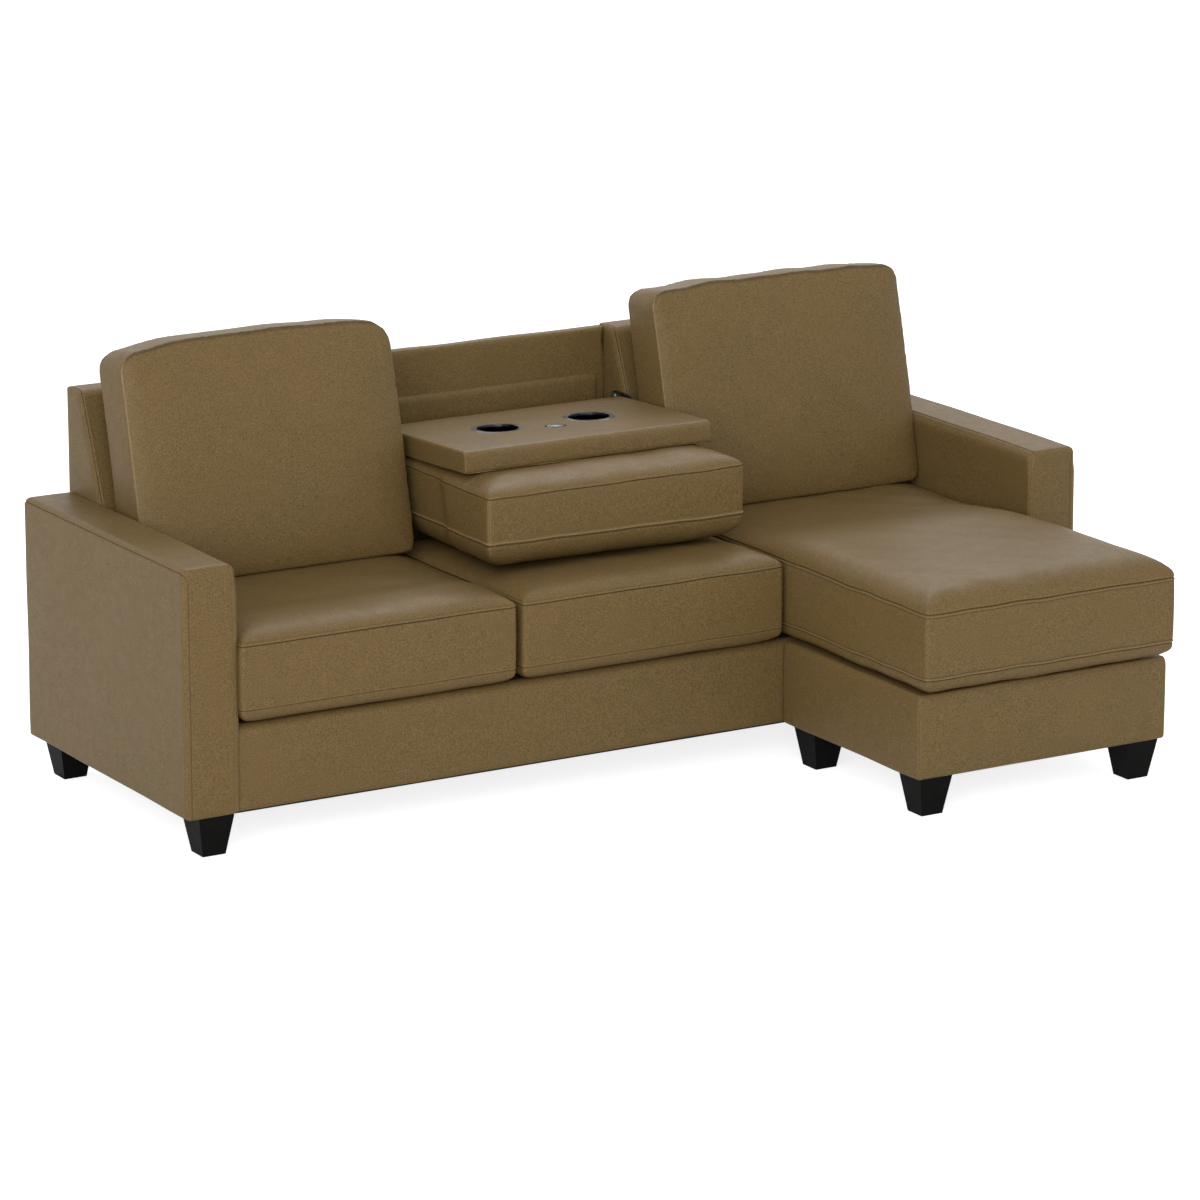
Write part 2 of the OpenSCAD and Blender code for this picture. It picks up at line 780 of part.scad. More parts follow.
// The upper bolt sits behind the back frame's slanted front face, whatever the back's height
hinge_bolt_z = hinge_z + bolt_rise;
hinge_bolt_y = back_foot_y + (hinge_bolt_z - back_foot_z) * tan(back_slant) + bolt_in;
hinge_bolts = [
  [hinge_bolt_y, hinge_bolt_z],
  [hinge_bolt_y - bolt_step[0], hinge_bolt_z - bolt_step[1]]
];
bend = [hinge_y + arm_bend_r + bend_in, hinge_z + bend_rise];
strip = arm_strip / 2;

// Outline of the curved arm: round the pin, up and over the bend, and down past both bolts
function bend_arc(r, a0, a1, n = 10) = [
  for (i = [0:n])
    let (a = a0 + (a1 - a0) * i / n)
    bend + r * [cos(a), sin(a)]
];

arm_outline = concat(
  bend_arc(arm_bend_r + strip, 180, 90),
  fillet(
    bend + [0, arm_bend_r + strip], [hinge_bolts[0].x + strip, bend.y + arm_bend_r + strip],
    [hinge_bolts[1].x + strip, hinge_bolts[1].y], strip, 5
  ),
  fillet(
    [hinge_bolts[0].x + strip, hinge_bolts[0].y], [hinge_bolts[1].x + strip, hinge_bolts[1].y - strip],
    [hinge_bolts[1].x - strip, hinge_bolts[1].y - strip], strip * 0.8, 5
  ),
  [[hinge_bolts[1].x - strip, hinge_bolts[1].y - strip * 0.8]],
  [[hinge_bolts[1].x - strip * 1.6, bend.y + arm_bend_r - strip]],
  bend_arc(arm_bend_r - strip, 90, 180),
  [for (i = [0:8]) [hinge_y, hinge_z] + (strip + 2) * [cos(20 - 200 * i / 8), sin(20 - 200 * i / 8)]]
);

module hinge_arm() {
  color(black) difference() {
    along_x(arm_x, arm_x + plate_t, arm_outline);
    rod_x(arm_x - cut, arm_x + plate_t + cut, hinge_y, hinge_z, pin_r + pin_play);
    for (p = hinge_bolts) rod_x(arm_x - cut, arm_x + plate_t + cut, p.x, p.y, bolt_r + fit);
  }
}

// Bolts with a domed head and a washer in the recess, a spacer, and a nut behind the rib
module hinge_arm_bolts() {
  head_t = bolt_r * 1.1;
  washer_t = 1;
  nut_x = recess_x + stile_skin + rib_t + fit * 2;
  color(zinc) for (side = [0, 1]) mirror([side, 0, 0]) for (p = hinge_bolts) {
    rod_x(arm_x - washer_t - head_t, arm_x - washer_t, p.x, p.y, bolt_r * 1.7);
    rod_x(arm_x - washer_t, arm_x - fit / 2, p.x, p.y, bolt_r * 2.1);
    rod_x(arm_x - washer_t, nut_x + head_t, p.x, p.y, bolt_r);
    rod_x(arm_x + plate_t + fit / 2, recess_x - fit / 2, p.x, p.y, bolt_r * 2.1);
    rod_x(nut_x, nut_x + head_t, p.x, p.y, bolt_r * 1.9);
  }
}

module hinge_pins() {
  head_t = 1.8;
  head_r = pin_r * 1.8;
  gap = play / 10;
  color(zinc) for (side = [0, 1]) mirror([side, 0, 0]) {
    rod_x(plate_x - gap - head_t, plate_x - gap, hinge_y, hinge_z, head_r);
    rod_x(plate_x - gap - head_t, arm_x + plate_t + gap + head_t, hinge_y, hinge_z, pin_r);
    rod_x(plate_x + plate_t + gap, arm_x - gap, hinge_y, hinge_z, head_r);
    rod_x(arm_x + plate_t + gap, arm_x + plate_t + gap + head_t, hinge_y, hinge_z, head_r);
  }
}

screw_r = 2.5;
screw_rise = 68;
screw_step = 22;
screw_back = 14;
screw_z = hinge_z + screw_rise;
screw_ys = [for (i = [-1:1]) hinge_y + screw_back + i * screw_step];

module hinge_plate() {
  edge = 13;
  color(black) difference() {
    union() {
      along_x(plate_x, plate_x + plate_t, rounded([
        [hinge_y - pin_r * 3.4, hinge_z - pin_r * 3.4, pin_r * 3.2],
        [hinge_y + pin_r * 3.4, hinge_z - pin_r * 3.4, pin_r * 3.2],
        [screw_ys[2] + edge, screw_z - edge, edge * 0.8],
        [screw_ys[2] + edge, screw_z + edge, edge * 0.8],
        [screw_ys[0] - edge, screw_z + edge, edge * 0.8],
        [screw_ys[0] - edge, screw_z - edge, edge * 0.8]
      ]));
      for (y = screw_ys) rod_x(console_x + fit / 2, plate_x + fit, y, screw_z, screw_r * 3);
    }
    rod_x(plate_x - cut, plate_x + plate_t + cut, hinge_y, hinge_z, pin_r + pin_play);
    for (y = screw_ys) {
      rod_x(console_x - cut, plate_x + plate_t + cut, y, screw_z, screw_r + fit);
      rod_x(plate_x + plate_t - screw_r * 0.8, plate_x + plate_t + cut, y, screw_z, screw_r * 2 + fit);
    }
  }
}

// Console

tray_box_x = tray_w / 2 - tray_skin - fit;

// Moves from the tray's own frame: x across, y back from the front edge, z down from the top
module on_tray() {
  translate([0, tray_y, tray_z]) rotate([-tray_slope, 0, 0]) children();
}

// The console cushion is narrower where the hinge plates lie, and flat under the tray
function bed_z(y, depth) = tray_z - (y - tray_y) * tan(tray_slope) - depth / cos(tray_slope);

console_mid_y = (console_front_y + console_back_y) / 2;
console_len = console_back_y - console_front_y;
waist_y1 = screw_ys[0] - board;
waist_y0 = waist_y1 - board * 2;

// Swell of the console cushion's sides, and how far its top dips away from the tray at its ends
console_swell = 1.2;
console_dip = 1.5;

function waist(p) =
  let (
    y = p.y + console_mid_y,
    share = min(1, max(0, (y - waist_y0) / (waist_y1 - waist_y0)))
  )
  [p.x * (1 + (console_x / console_nose_x - 1) * share), y];

// A level ring of the console cushion, w by d wide
function console_ring(w, d, z, n, k) = [
  for (p = ring(w - 2 * console_swell, d - 2 * console_swell, cushion_r, console_swell, n, k))
    let (q = waist(p))
    [q.x, q.y, z]
];

// Keeps a ring's points below the tray's underside
function dip(p) = console_dip * (pow(p.x / recess_x, 2) + pow((p.y - console_mid_y) / console_len * 2, 2));
function bedded(points, t) = [
  for (p = points)
    [p.x, p.y, min(p.z, bed_z(p.y, console_bed + t) - dip(p))]
];

// The cover is stapled round a hatch under the tray, where the wooden frame stands up to carry it
hatch_x = tray_w / 2 - board * 1.5;
hatch_y0 = tray_y + board;
hatch_y1 = console_back_y - board * 2.2;
console_rise = tray_t * 0.75;

function hatch_ring(w, n, k) = [
  for (p = ring(w, hatch_y1 - hatch_y0, board / 2, console_swell, n, k))
    [p.x, p.y + (hatch_y0 + hatch_y1) / 2]
];

function console_w(t) = (console_nose_x - t) * 2;
function console_d(t) = console_len - 2 * t;

// Rings of the console cushion from the middle of its belly up to its lower seam
function console_low_rings(t, n, k) =
  let (w = console_w(t), d = console_d(t))
  concat(
    [for (j = [len(cover_steps) - 1:-1:0]) let (c = cover_steps[j]) console_ring(
      w - c * d, d - c * d, console_low_z - (console_belly - t) * puff(c), n, k
    )],
    [console_ring(w, d, console_low_z, n, k)]
  );

// Rings of the console cushion from the middle of its belly up to the hatch
function console_rings(t, n, k) =
  let (
    w = console_w(t),
    d = console_d(t),
    edge = cover_steps[1],
    last = console_ring(w - edge * d, d - edge * d, 0, n, k),
    hole = hatch_ring(hatch_x * 2, n, k)
  )
  concat(
    console_low_rings(t, n, k),
    [console_ring(w, d, console_top_z, n, k)],
    [for (f = [0:0.25:1]) bedded(
      [for (i = [0:len(hole) - 1]) let (q = last[i], h = hole[i])
        let (z = console_top_z + (console_rise - t) * puff(edge + f / 2))
        [q.x + (h.x - q.x) * f, q.y + (h.y - q.y) * f, z]],
      t
    )]
  );

function reversed(rings) = [for (i = [len(rings) - 1:-1:0]) rings[i]];

// The wooden frame lies in the top of the console cushion
frame_h = 34;
frame_y0 = console_front_y + board * 1.5;
frame_y1 = console_back_y - cover_t - console_swell - fit;
frame_low = screw_z - frame_h / 2;

module console_cushion_cover() {
  color(leather) skin(concat(console_rings(0, 6, 4), reversed(console_rings(cover_t, 6, 4))));
}

module console_frame() {
  x1 = console_x - cover_t - console_swell - fit;
  r = cushion_r + board / 4;
  h0 = hatch_y0 - tray_y + board / 4;
  h1 = hatch_y1 - tray_y;
  low = -console_bed - console_top_z + frame_low;
  color(pine) difference() {
    union() {
      translate([0, 0, frame_low]) linear_extrude(frame_h)
        polygon(box_outline([-x1, frame_y0], [x1, frame_y1], [r, r, r, r]));
      on_tray() slab([-hatch_x + board / 2, h0, low], [hatch_x - board / 2, h1, -console_bed]);
    }
    on_tray() slab(
      [-hatch_x + board * 2, h0 + board * 2, low + board / 2],
      [hatch_x - board * 2, h1 - board * 2, 0]
    );
  }
}

// Foam lies below the wooden frame, and in a pad on it in front of the tray
module console_foam() {
  t = cover_t + rest_gap * 2.5;
  top = frame_low - fit;
  color(foam) {
    skin(concat(console_low_rings(t, 6, 4), [console_ring(console_w(t), console_d(t), top, 6, 4)]));
    slab(
      [-hatch_x, console_front_y + board * 1.5, frame_low + frame_h + fit],
      [hatch_x, tray_y + board / 2, console_top_z + tray_skin]
    );
  }
}

module console_tray_cover() {
  z1 = -tray_t;
  inner = tray_skin;
  side = [hem_r, hem_r, edge_r * 0.5, edge_r * 0.5];
  color(leather) on_tray() difference() {
    intersection() {
      along_x(-tray_w / 2, tray_w / 2, box_outline([0, z1], [tray_d, 0], side));
      along_y(0, tray_d, box_outline([-tray_w / 2, z1], [tray_w / 2, 0], side));
    }
    slab([-tray_w / 2 + inner, inner, z1 - cut], [tray_w / 2 - inner, tray_d - inner, -inner]);
    for (s = [-1, 1]) translate([s * cup_x, cup_y, -inner - cut])
      cylinder(h = inner + cut * 2, r = cup_r + cup_wall + fit);
    translate([0, disc_y, -inner - cut]) cylinder(h = inner + cut * 2, r = disc_r + fit);
  }
}

// Where the screws from the console's frame bite into the battens of the tray's box
batten_ys = [hatch_y0 - tray_y + board * 1.2, hatch_y1 - tray_y - board];

module console_tray_box() {
  x1 = tray_box_x;
  y0 = tray_skin + fit;
  y1 = tray_d - tray_skin - fit;
  z1 = -tray_t;
  top = -tray_skin - fit;
  color(pine) on_tray() difference() {
    slab([-x1, y0, z1], [x1, y1, top]);
    difference() {
      slab(
        [-x1 + tray_board, y0 + tray_board, z1 - cut],
        [x1 - tray_board, y1 - tray_board, top - tray_board]
      );
      for (y = batten_ys) slab([-x1, y - board / 2, z1 - cut], [x1, y + board / 2, z1 + board]);
    }
    for (s = [-1, 1]) translate([s * cup_x, cup_y, z1])
      cylinder(h = tray_t, r = cup_r + cup_wall + fit);
    translate([0, disc_y, z1]) cylinder(h = tray_t, r = disc_r * 0.5 + fit);
  }
}

// A deep-drawn metal cup hung by its rolled flange
module cup_holder(x) {
  flange_t = 2;
  color(gunmetal) on_tray() translate([x, cup_y, 0]) rotate_extrude($fn = 72) polygon(concat(
    [[0, -cup_depth - cup_wall], [cup_r + cup_wall, -cup_depth - cup_wall]],
    [[cup_r + cup_wall, fit / 2], [cup_flange_r, fit / 2]],
    [[cup_flange_r, flange_t * 0.4], [cup_flange_r - flange_t, flange_t], [cup_r, flange_t]],
    [[cup_r, -cup_depth], [0, -cup_depth]]
  ));
}

// A dished disc with a stem, set flush in the tray between the cups
module console_disc() {
  rim = 2;
  stem = disc_r * 0.5;
  color(zinc) on_tray() translate([0, disc_y, 0]) rotate_extrude($fn = 48) polygon([
    [0, -tray_skin - tray_board], [stem, -tray_skin - tray_board], [stem, -tray_skin + fit],
    [disc_r, -tray_skin + fit], [disc_r, rim * 0.4], [disc_r - rim, rim * 0.6],
    [disc_r - rim * 2.5, -rim * 0.4], [stem * 0.6, -rim], [0, -rim]
  ]);
}

module console_screws() {
  grip = board * 0.8;
  head = screw_r * 0.7;
  color(zinc) {
    for (side = [0, 1]) mirror([side, 0, 0]) for (y = screw_ys) {
      rod_x(plate_x + plate_t - head, plate_x + plate_t, y, screw_z, screw_r * 2);
      rod_x(console_x - cover_t - grip, plate_x + plate_t, y, screw_z, screw_r);
    }
    on_tray() for (x = [-1, 1]) for (y = batten_ys)
      translate([x * (hatch_x - board), y, -console_bed - grip]) cylinder(h = grip * 2, r = screw_r);
  }
}

// Ottoman

ottoman_lo = [ottoman_x - ottoman_w / 2, ottoman_y0, frame_z];
ottoman_hi = [ottoman_x + ottoman_w / 2, ottoman_y1, cover_top];

// The space inside the ottoman's cover, set in by t at the sides and open below
module ottoman_core(t) {
  padded_box(ottoman_lo + [t, t, -hem_r], ottoman_hi - [t, t, top_skin], t);
}

module ottoman_cover() {
  color(leather) difference() {
    padded_box(ottoman_lo, ottoman_hi);
    ottoman_core(rail_skin);
  }
}

module ottoman_frame() {
  in = rail_skin + fit;
  z0 = frame_z + fit;
  x0 = ottoman_x - ottoman_w / 2 + in;
  x1 = ottoman_x + ottoman_w / 2 - in;
  y0 = ottoman_y0 + in;
  y1 = ottoman_y1 - in;
  color(pine) difference() {
    intersection() {
      ottoman_core(in);
      slab([x0, y0, z0], [x1, y1, rail_top]);
    }
    slab([x0 + rail_t, y0 + rail_t, z0 + board * 2], [x1 - rail_t, y1 - rail_t, rail_top + cut]);
    slab([x0 + rail_t, y0 + block + board, z0 - cut], [x1 - rail_t, y1 - block - board, rail_top]);
    slab([x0 + block + board, y0 + rail_t, z0 - cut], [x1 - block - board, y1 - rail_t, rail_top]);
    for (p = ottoman_legs)
      translate([p.x, p.y, z0 - cut]) cylinder(h = board * 2 + cut * 2, r = leg_hole);
  }
}

ottoman_spring_ys = [ottoman_y0 + rail_skin + rail_t / 2, ottoman_y1 - rail_skin - rail_t / 2];
ottoman_spring_xs = [for (i = [0:springs_per_seat - 1])
  ottoman_x + ((i + 0.5) / springs_per_seat - 0.5) * (ottoman_w - 4 * rail_t)];

module ottoman_springs() {
  color(zinc) for (x = ottoman_spring_xs)
    translate([x, 0, spring_z]) spring(ottoman_spring_ys[0], ottoman_spring_ys[1], spring_w, spring_t);
}

module ottoman_clips() {
  color(zinc) for (x = ottoman_spring_xs) for (y = ottoman_spring_ys) clip([x, y, spring_z]);
}

module ottoman_dust_cover() {
  lo = [ottoman_x - ottoman_w / 2 + hem_r, ottoman_y0 + hem_r];
  hi = [ottoman_x + ottoman_w / 2 - hem_r, ottoman_y1 - hem_r];
  color(cloth) translate([0, 0, leg_h]) linear_extrude(dust_t) difference() {
    polygon(box_outline(lo, hi, [edge_r, edge_r, hem_r, hem_r]));
    for (p = ottoman_legs) translate(p) circle(r = leg_hole);
  }
}

// Mirror plane of the left-hand pieces
left = [1, 0, 0];
left_at = [-pitch, seat_mid_y, seat_z];
centre_at = [centre_shift, seat_mid_y, seat_z];
chaise_at = [ottoman_x, chaise_mid_y, seat_z];

place() mirror(left) arm_cover();  // arm_cover_left
place() arm_cover();  // arm_cover_right
place() mirror(left) arm_frame();  // arm_frame_left
place() arm_frame();  // arm_frame_right
place() arm_bolts();
place() seat_frame();
place() front_rail_cover();
place() seat_springs();
place() spring_clips();
place() seat_deck();
place() dust_cover();
place() back_frame();
place() mirror(left) back_cover();  // back_cover_left
place() back_cover();  // back_cover_right
place() recess_panel_cover();
place() recess_ledge();
place() outside_back_cover();
place() leg(sofa_legs[0]);  // front_leg_left
place() leg(sofa_legs[2]);  // front_leg_right
place() leg(sofa_legs[1]);  // rear_leg_left
place() leg(sofa_legs[3]);  // rear_leg_right
place() bolts_up(sofa_legs);  // leg_bolts
place() glides(sofa_legs);  // leg_glides
place() mirror(left) hinge_arm();  // hinge_arm_left
place() hinge_arm();  // hinge_arm_right
place() hinge_arm_bolts();
place() hinge_pins();
place() console_cushion_cover();
place() console_foam();
place() console_frame();
place() console_tray_cover();
place() console_tray_box();
place() cup_holder(-cup_x);  // cup_holder_left
place() cup_holder(cup_x);  // cup_holder_right
place() console_disc();
place() mirror(left) hinge_plate();  // hinge_plate_left
place() hinge_plate();  // hinge_plate_right
place() console_screws();
place() ottoman_cover();
place() ottoman_frame();
place() ottoman_springs();
place() ottoman_clips();
place() ottoman_dust_cover();
place() leg(ottoman_legs[0]);  // ottoman_leg_front_left
place() leg(ottoman_legs[2]);  // ottoman_leg_front_right
place() leg(ottoman_legs[1]);  // ottoman_leg_rear_left
place() leg(ottoman_legs[3]);  // ottoman_leg_rear_right
place() bolts_up(ottoman_legs);  // ottoman_leg_bolts
place() glides(ottoman_legs);  // ottoman_glides
place() seat_cushion_cover(seat_size, left_at);  // seat_cover_left
place() seat_cushion_foam(seat_size, left_at);  // seat_foam_left
place() seat_cushion_cover(seat_size, centre_at);  // seat_cover_centre
place() seat_cushion_foam(seat_size, centre_at);  // seat_foam_centre
place() seat_cushion_cover(chaise_size, chaise_at);  // chaise_cover
place() seat_cushion_foam(chaise_size, chaise_at);  // chaise_foam
place() back_cushion_cover(-back_x);  // back_cover_loose_left
place() back_cushion_fill(-back_x);  // back_fill_left
place() back_cushion_cover(back_x);  // back_cover_loose_right
place() back_cushion_fill(back_x);  // back_fill_right
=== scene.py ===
"""Looks of a three-seat sofa with a chaise cushion on a loose ottoman and a fold-down console.

Metres, +Z up, the sofa faces -Y. Left and right are the viewer's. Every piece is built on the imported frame.
"""
import math

import bpy
import numpy as np
from mathutils import Matrix, Vector


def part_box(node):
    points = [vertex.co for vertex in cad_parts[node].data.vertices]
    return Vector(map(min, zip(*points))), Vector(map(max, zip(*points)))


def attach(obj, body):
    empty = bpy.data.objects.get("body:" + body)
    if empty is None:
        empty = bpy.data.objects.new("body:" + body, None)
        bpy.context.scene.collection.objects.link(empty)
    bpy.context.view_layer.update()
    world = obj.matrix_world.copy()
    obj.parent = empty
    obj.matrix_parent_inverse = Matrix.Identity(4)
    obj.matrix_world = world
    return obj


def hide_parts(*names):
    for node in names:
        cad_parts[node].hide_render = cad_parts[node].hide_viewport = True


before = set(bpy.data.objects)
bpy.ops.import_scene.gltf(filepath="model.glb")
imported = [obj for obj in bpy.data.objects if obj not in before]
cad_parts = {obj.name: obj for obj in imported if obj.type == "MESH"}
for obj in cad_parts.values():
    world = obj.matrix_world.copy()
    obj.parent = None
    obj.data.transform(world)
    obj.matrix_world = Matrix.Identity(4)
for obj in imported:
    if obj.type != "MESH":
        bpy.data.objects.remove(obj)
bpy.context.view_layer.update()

scene = bpy.context.scene
mm = 0.001

# Places closer than TINY count as one, and NONZERO keeps a division from failing
TINY = 1e-9
NONZERO = 1e-12

# Camera

CAMERA_AT = Vector((-5.622, -9.315, 3.190))
CAMERA_TILT = 75.5
CAMERA_TURN = -30.85
LENS = 161.4
SENSOR = 36

camera = bpy.data.objects.new("camera", bpy.data.cameras.new("camera"))
camera.location = CAMERA_AT
camera.rotation_euler = (math.radians(CAMERA_TILT), 0, math.radians(CAMERA_TURN))
camera.data.lens = LENS
camera.data.sensor_width = SENSOR
camera.data.clip_end = 200
scene.collection.objects.link(camera)
scene.camera = camera


# Materials

class Value:
    """A socket that takes part in Python arithmetic: each operation adds a Math node."""

    def __init__(self, finish, socket):
        self.finish = finish
        self.socket = socket

    def math(self, operation, *values):
        return self.finish.node("ShaderNodeMath", {"operation": operation}, dict(enumerate(values)))

    def __add__(self, other):
        return self.math("ADD", self, other)

    def __mul__(self, other):
        return self.math("MULTIPLY", self, other)

    def __sub__(self, other):
        return self.math("SUBTRACT", self, other)

    def __rsub__(self, other):
        return self.math("SUBTRACT", other, self)

    __radd__ = __add__
    __rmul__ = __mul__

    def over(self, low, high):
        """Rises from 0 to 1 while the value goes from low to high."""
        return self.finish.node(
            "ShaderNodeMapRange", {"interpolation_type": "SMOOTHSTEP"},
            {"Value": self, "From Min": low, "From Max": high},
        )


class Finish:
    """The nodes of a material or of the world, added one by one."""

    def __init__(self, owner):
        owner.use_nodes = True
        self.owner = owner
        self.tree = owner.node_tree
        self.tree.nodes.clear()

    def node(self, kind, settings=None, sockets=None, output=0):
        """Adds a node with its settings, then values or links for its sockets by name or number."""
        made = self.tree.nodes.new(kind)
        for key, value in (settings or {}).items():
            setattr(made, key, value)
        for key, value in (sockets or {}).items():
            if isinstance(value, Value):
                self.tree.links.new(value.socket, made.inputs[key])
            else:
                made.inputs[key].default_value = value
        return Value(self, made.outputs[output] if made.outputs else None)

    def place(self, stretch=(1, 1, 1)):
        """The piece's own coordinates, stretched."""
        at = self.node("ShaderNodeTexCoord", output="Object")
        return self.node("ShaderNodeVectorMath", {"operation": "MULTIPLY"}, {0: at, 1: stretch})

    def noise(self, at, scale, detail, roughness):
        return self.node(
            "ShaderNodeTexNoise", {},
            {"Vector": at, "Scale": scale, "Detail": detail, "Roughness": roughness},
        )

    def cells(self, at, scale):
        return self.node("ShaderNodeTexVoronoi", {}, {"Vector": at, "Scale": scale})

    def mark(self, name):
        """A value that is stored at the points of a mesh."""
        return self.node("ShaderNodeAttribute", {"attribute_name": name}, output=2)

    def mix(self, share, a, b):
        """Colour a turning into colour b."""
        return self.node("ShaderNodeMix", {"data_type": "RGBA"}, {0: share, 6: a, 7: b}, output=2)

    def bump(self, height, strength, distance):
        return self.node(
            "ShaderNodeBump", {}, {"Height": height, "Strength": strength, "Distance": distance},
        )

    def shade(self, **sockets):
        """The surface shader, named sockets with spaces written as underscores."""
        names = {key.replace("_", " "): value for key, value in sockets.items()}
        shader = self.node("ShaderNodeBsdfPrincipled", {}, names)
        self.show(shader)
        return self.owner

    def show(self, shader):
        self.node("ShaderNodeOutputMaterial", {}, {"Surface": shader})


def tone(red, green, blue):
    """A colour written as it shows on a screen, from 0 to 255, made linear by the sRGB curve."""
    def linear(c):
        c /= 255
        return c / 12.92 if c <= 0.04045 else ((c + 0.055) / 1.055) ** 2.4
    return (linear(red), linear(green), linear(blue), 1)


def leather_finish():
    """Khaki-brown pebbled leather with a satin top coat, faintly mottled, with painted shade in its seams and
    painted highlights on their lips and welts.
    """
    hollow_tone = tone(90, 73, 41)
    pebble_tone = tone(127, 104, 66)
    crack_tone = tone(78, 62, 35)
    mottle_tone = tone(97, 80, 48)
    cloud_tone = tone(115, 90, 53)
    seam_shade_tone = tone(46, 34, 18)
    lip_highlight_tone = tone(152, 128, 86)
    f = Finish(bpy.data.materials.new("pebbled_leather"))
    at = f.place()
    clouds = f.noise(at, scale=6, detail=2, roughness=0.5)
    mottle = f.noise(at, scale=38, detail=3, roughness=0.6)
    pebbles = f.noise(at, scale=380, detail=2, roughness=0.6)
    cracks = f.cells(at, 400)
    seam = f.mark("seam")

    colour = f.mix(pebbles.over(0.3, 0.7), hollow_tone, pebble_tone)
    colour = f.mix(cracks.over(0.3, 0.8) * 0.16, colour, crack_tone)
    colour = f.mix(mottle.over(0.35, 0.7) * 0.22, colour, mottle_tone)
    colour = f.mix(clouds.over(0.35, 0.65) * 0.2, colour, cloud_tone)
    # The seam mark is painted light: painted shade in the seam grooves above 0, painted highlights on lips
    # and welts below 0
    colour = f.mix(seam * 0.85, colour, seam_shade_tone)
    colour = f.mix(0 - seam * 0.8, colour, lip_highlight_tone)

    grain = pebbles * 0.5 + (1 - cracks) * 0.5
    creases = f.noise(at, scale=75, detail=3, roughness=0.6)
    normal = f.node(
        "ShaderNodeBump", {},
        {
            "Height": creases, "Strength": 0.12, "Distance": 0.8 * mm,
            "Normal": f.bump(grain, 0.8, 0.5 * mm),
        },
    )
    return f.shade(
        Base_Color=colour, Roughness=0.46 + (mottle - 0.5) * 0.2 + seam * 0.3,
        Specular_IOR_Level=0.25, Specular_Tint=(1, 0.94, 0.84, 1), Normal=normal,
    )


def leg_finish():
    """Matte black lacquer on wood, a little dusty."""
    f = Finish(bpy.data.materials.new("black_lacquer"))
    grain = f.noise(f.place((260, 260, 24)), scale=1, detail=4, roughness=0.6)
    dust = f.noise(f.place(), scale=38, detail=4, roughness=0.65)
    colour = f.mix(dust.over(0.45, 0.8) * 0.5, tone(11, 10, 9), tone(22, 21, 19))
    return f.shade(
        Base_Color=colour, Roughness=0.5 + (dust - 0.5) * 0.2, Specular_IOR_Level=0.07,
        Normal=f.bump(grain, 0.18, 0.25 * mm),
    )


def metal_finish(name, light, dark, roughness, metallic=1.0, hollow=False):
    """A metal with faint smears and fine scratches, black below the rim where it is hollow."""
    f = Finish(bpy.data.materials.new(name))
    smears = f.noise(f.place(), scale=30, detail=4, roughness=0.65)
    scratches = f.noise(f.place((900, 900, 90)), scale=1, detail=2, roughness=0.5)
    colour = f.mix(smears.over(0.3, 0.7), dark, light)
    if hollow:
        colour = f.mix(f.mark("depth").over(0.02, 0.16), colour, tone(9, 9, 10))
    return f.shade(
        Base_Color=colour, Metallic=metallic,
        Roughness=roughness + (smears - 0.5) * 0.18 + (scratches - 0.5) * 0.08,
        Normal=f.bump(scratches, 0.12, 0.1 * mm),
    )


def wood_finish():
    """Planed softwood with growth rings."""
    f = Finish(bpy.data.materials.new("frame_pine"))
    at = f.place((1, 8, 8))
    wander = f.noise(at, scale=2.5, detail=3, roughness=0.5)
    rings = f.node(
        "ShaderNodeTexWave", {"wave_type": "RINGS", "rings_direction": "X"},
        {"Vector": at, "Scale": 9.0, "Distortion": 5.0, "Detail": 2.0},
    )
    fibres = f.noise(f.place((60, 700, 700)), scale=1, detail=2, roughness=0.5)
    colour = f.mix(rings.over(0.2, 0.9), tone(226, 200, 154), tone(186, 146, 96))
    colour = f.mix(fibres.over(0.45, 0.8) * 0.4, colour, tone(150, 112, 70))
    return f.shade(
        Base_Color=colour, Roughness=0.66 + wander * 0.1, Normal=f.bump(fibres, 0.3, 0.4 * mm),
    )


def cloth_finish():
    """Black woven lining cloth."""
    f = Finish(bpy.data.materials.new("lining_cloth"))
    across = f.node("ShaderNodeTexWave", {"bands_direction": "X"}, {"Vector": f.place(), "Scale": 260.0})
    along = f.node("ShaderNodeTexWave", {"bands_direction": "Y"}, {"Vector": f.place(), "Scale": 260.0})
    weave = across * along
    fluff = f.noise(f.place(), scale=70, detail=3, roughness=0.6)
    colour = f.mix(weave, tone(30, 30, 32), tone(58, 58, 60))
    colour = f.mix(fluff.over(0.5, 0.8) * 0.4, colour, tone(74, 73, 72))
    return f.shade(Base_Color=colour, Roughness=0.85 + fluff * 0.1, Normal=f.bump(weave, 0.5, 0.4 * mm))


def foam_finish():
    """Cream polyurethane foam with open cells."""
    f = Finish(bpy.data.materials.new("seat_foam"))
    pores = f.cells(f.place(), 520)
    age = f.noise(f.place(), scale=12, detail=3, roughness=0.6)
    colour = f.mix(age, tone(236, 224, 178), tone(222, 200, 138))
    colour = f.mix(pores.over(0.5, 0.9) * 0.4, colour, tone(176, 154, 100))
    return f.shade(Base_Color=colour, Roughness=0.9 + age * 0.05, Normal=f.bump(pores, 0.6, 0.6 * mm))


def plastic_finish():
    """Dark moulded plastic of the floor glides."""
    f = Finish(bpy.data.materials.new("glide_plastic"))
    scuffs = f.noise(f.place(), scale=120, detail=4, roughness=0.7)
    colour = f.mix(scuffs.over(0.5, 0.8), tone(34, 33, 32), tone(70, 68, 65))
    return f.shade(Base_Color=colour, Roughness=0.45 + scuffs * 0.2, Normal=f.bump(scuffs, 0.2, 0.2 * mm))


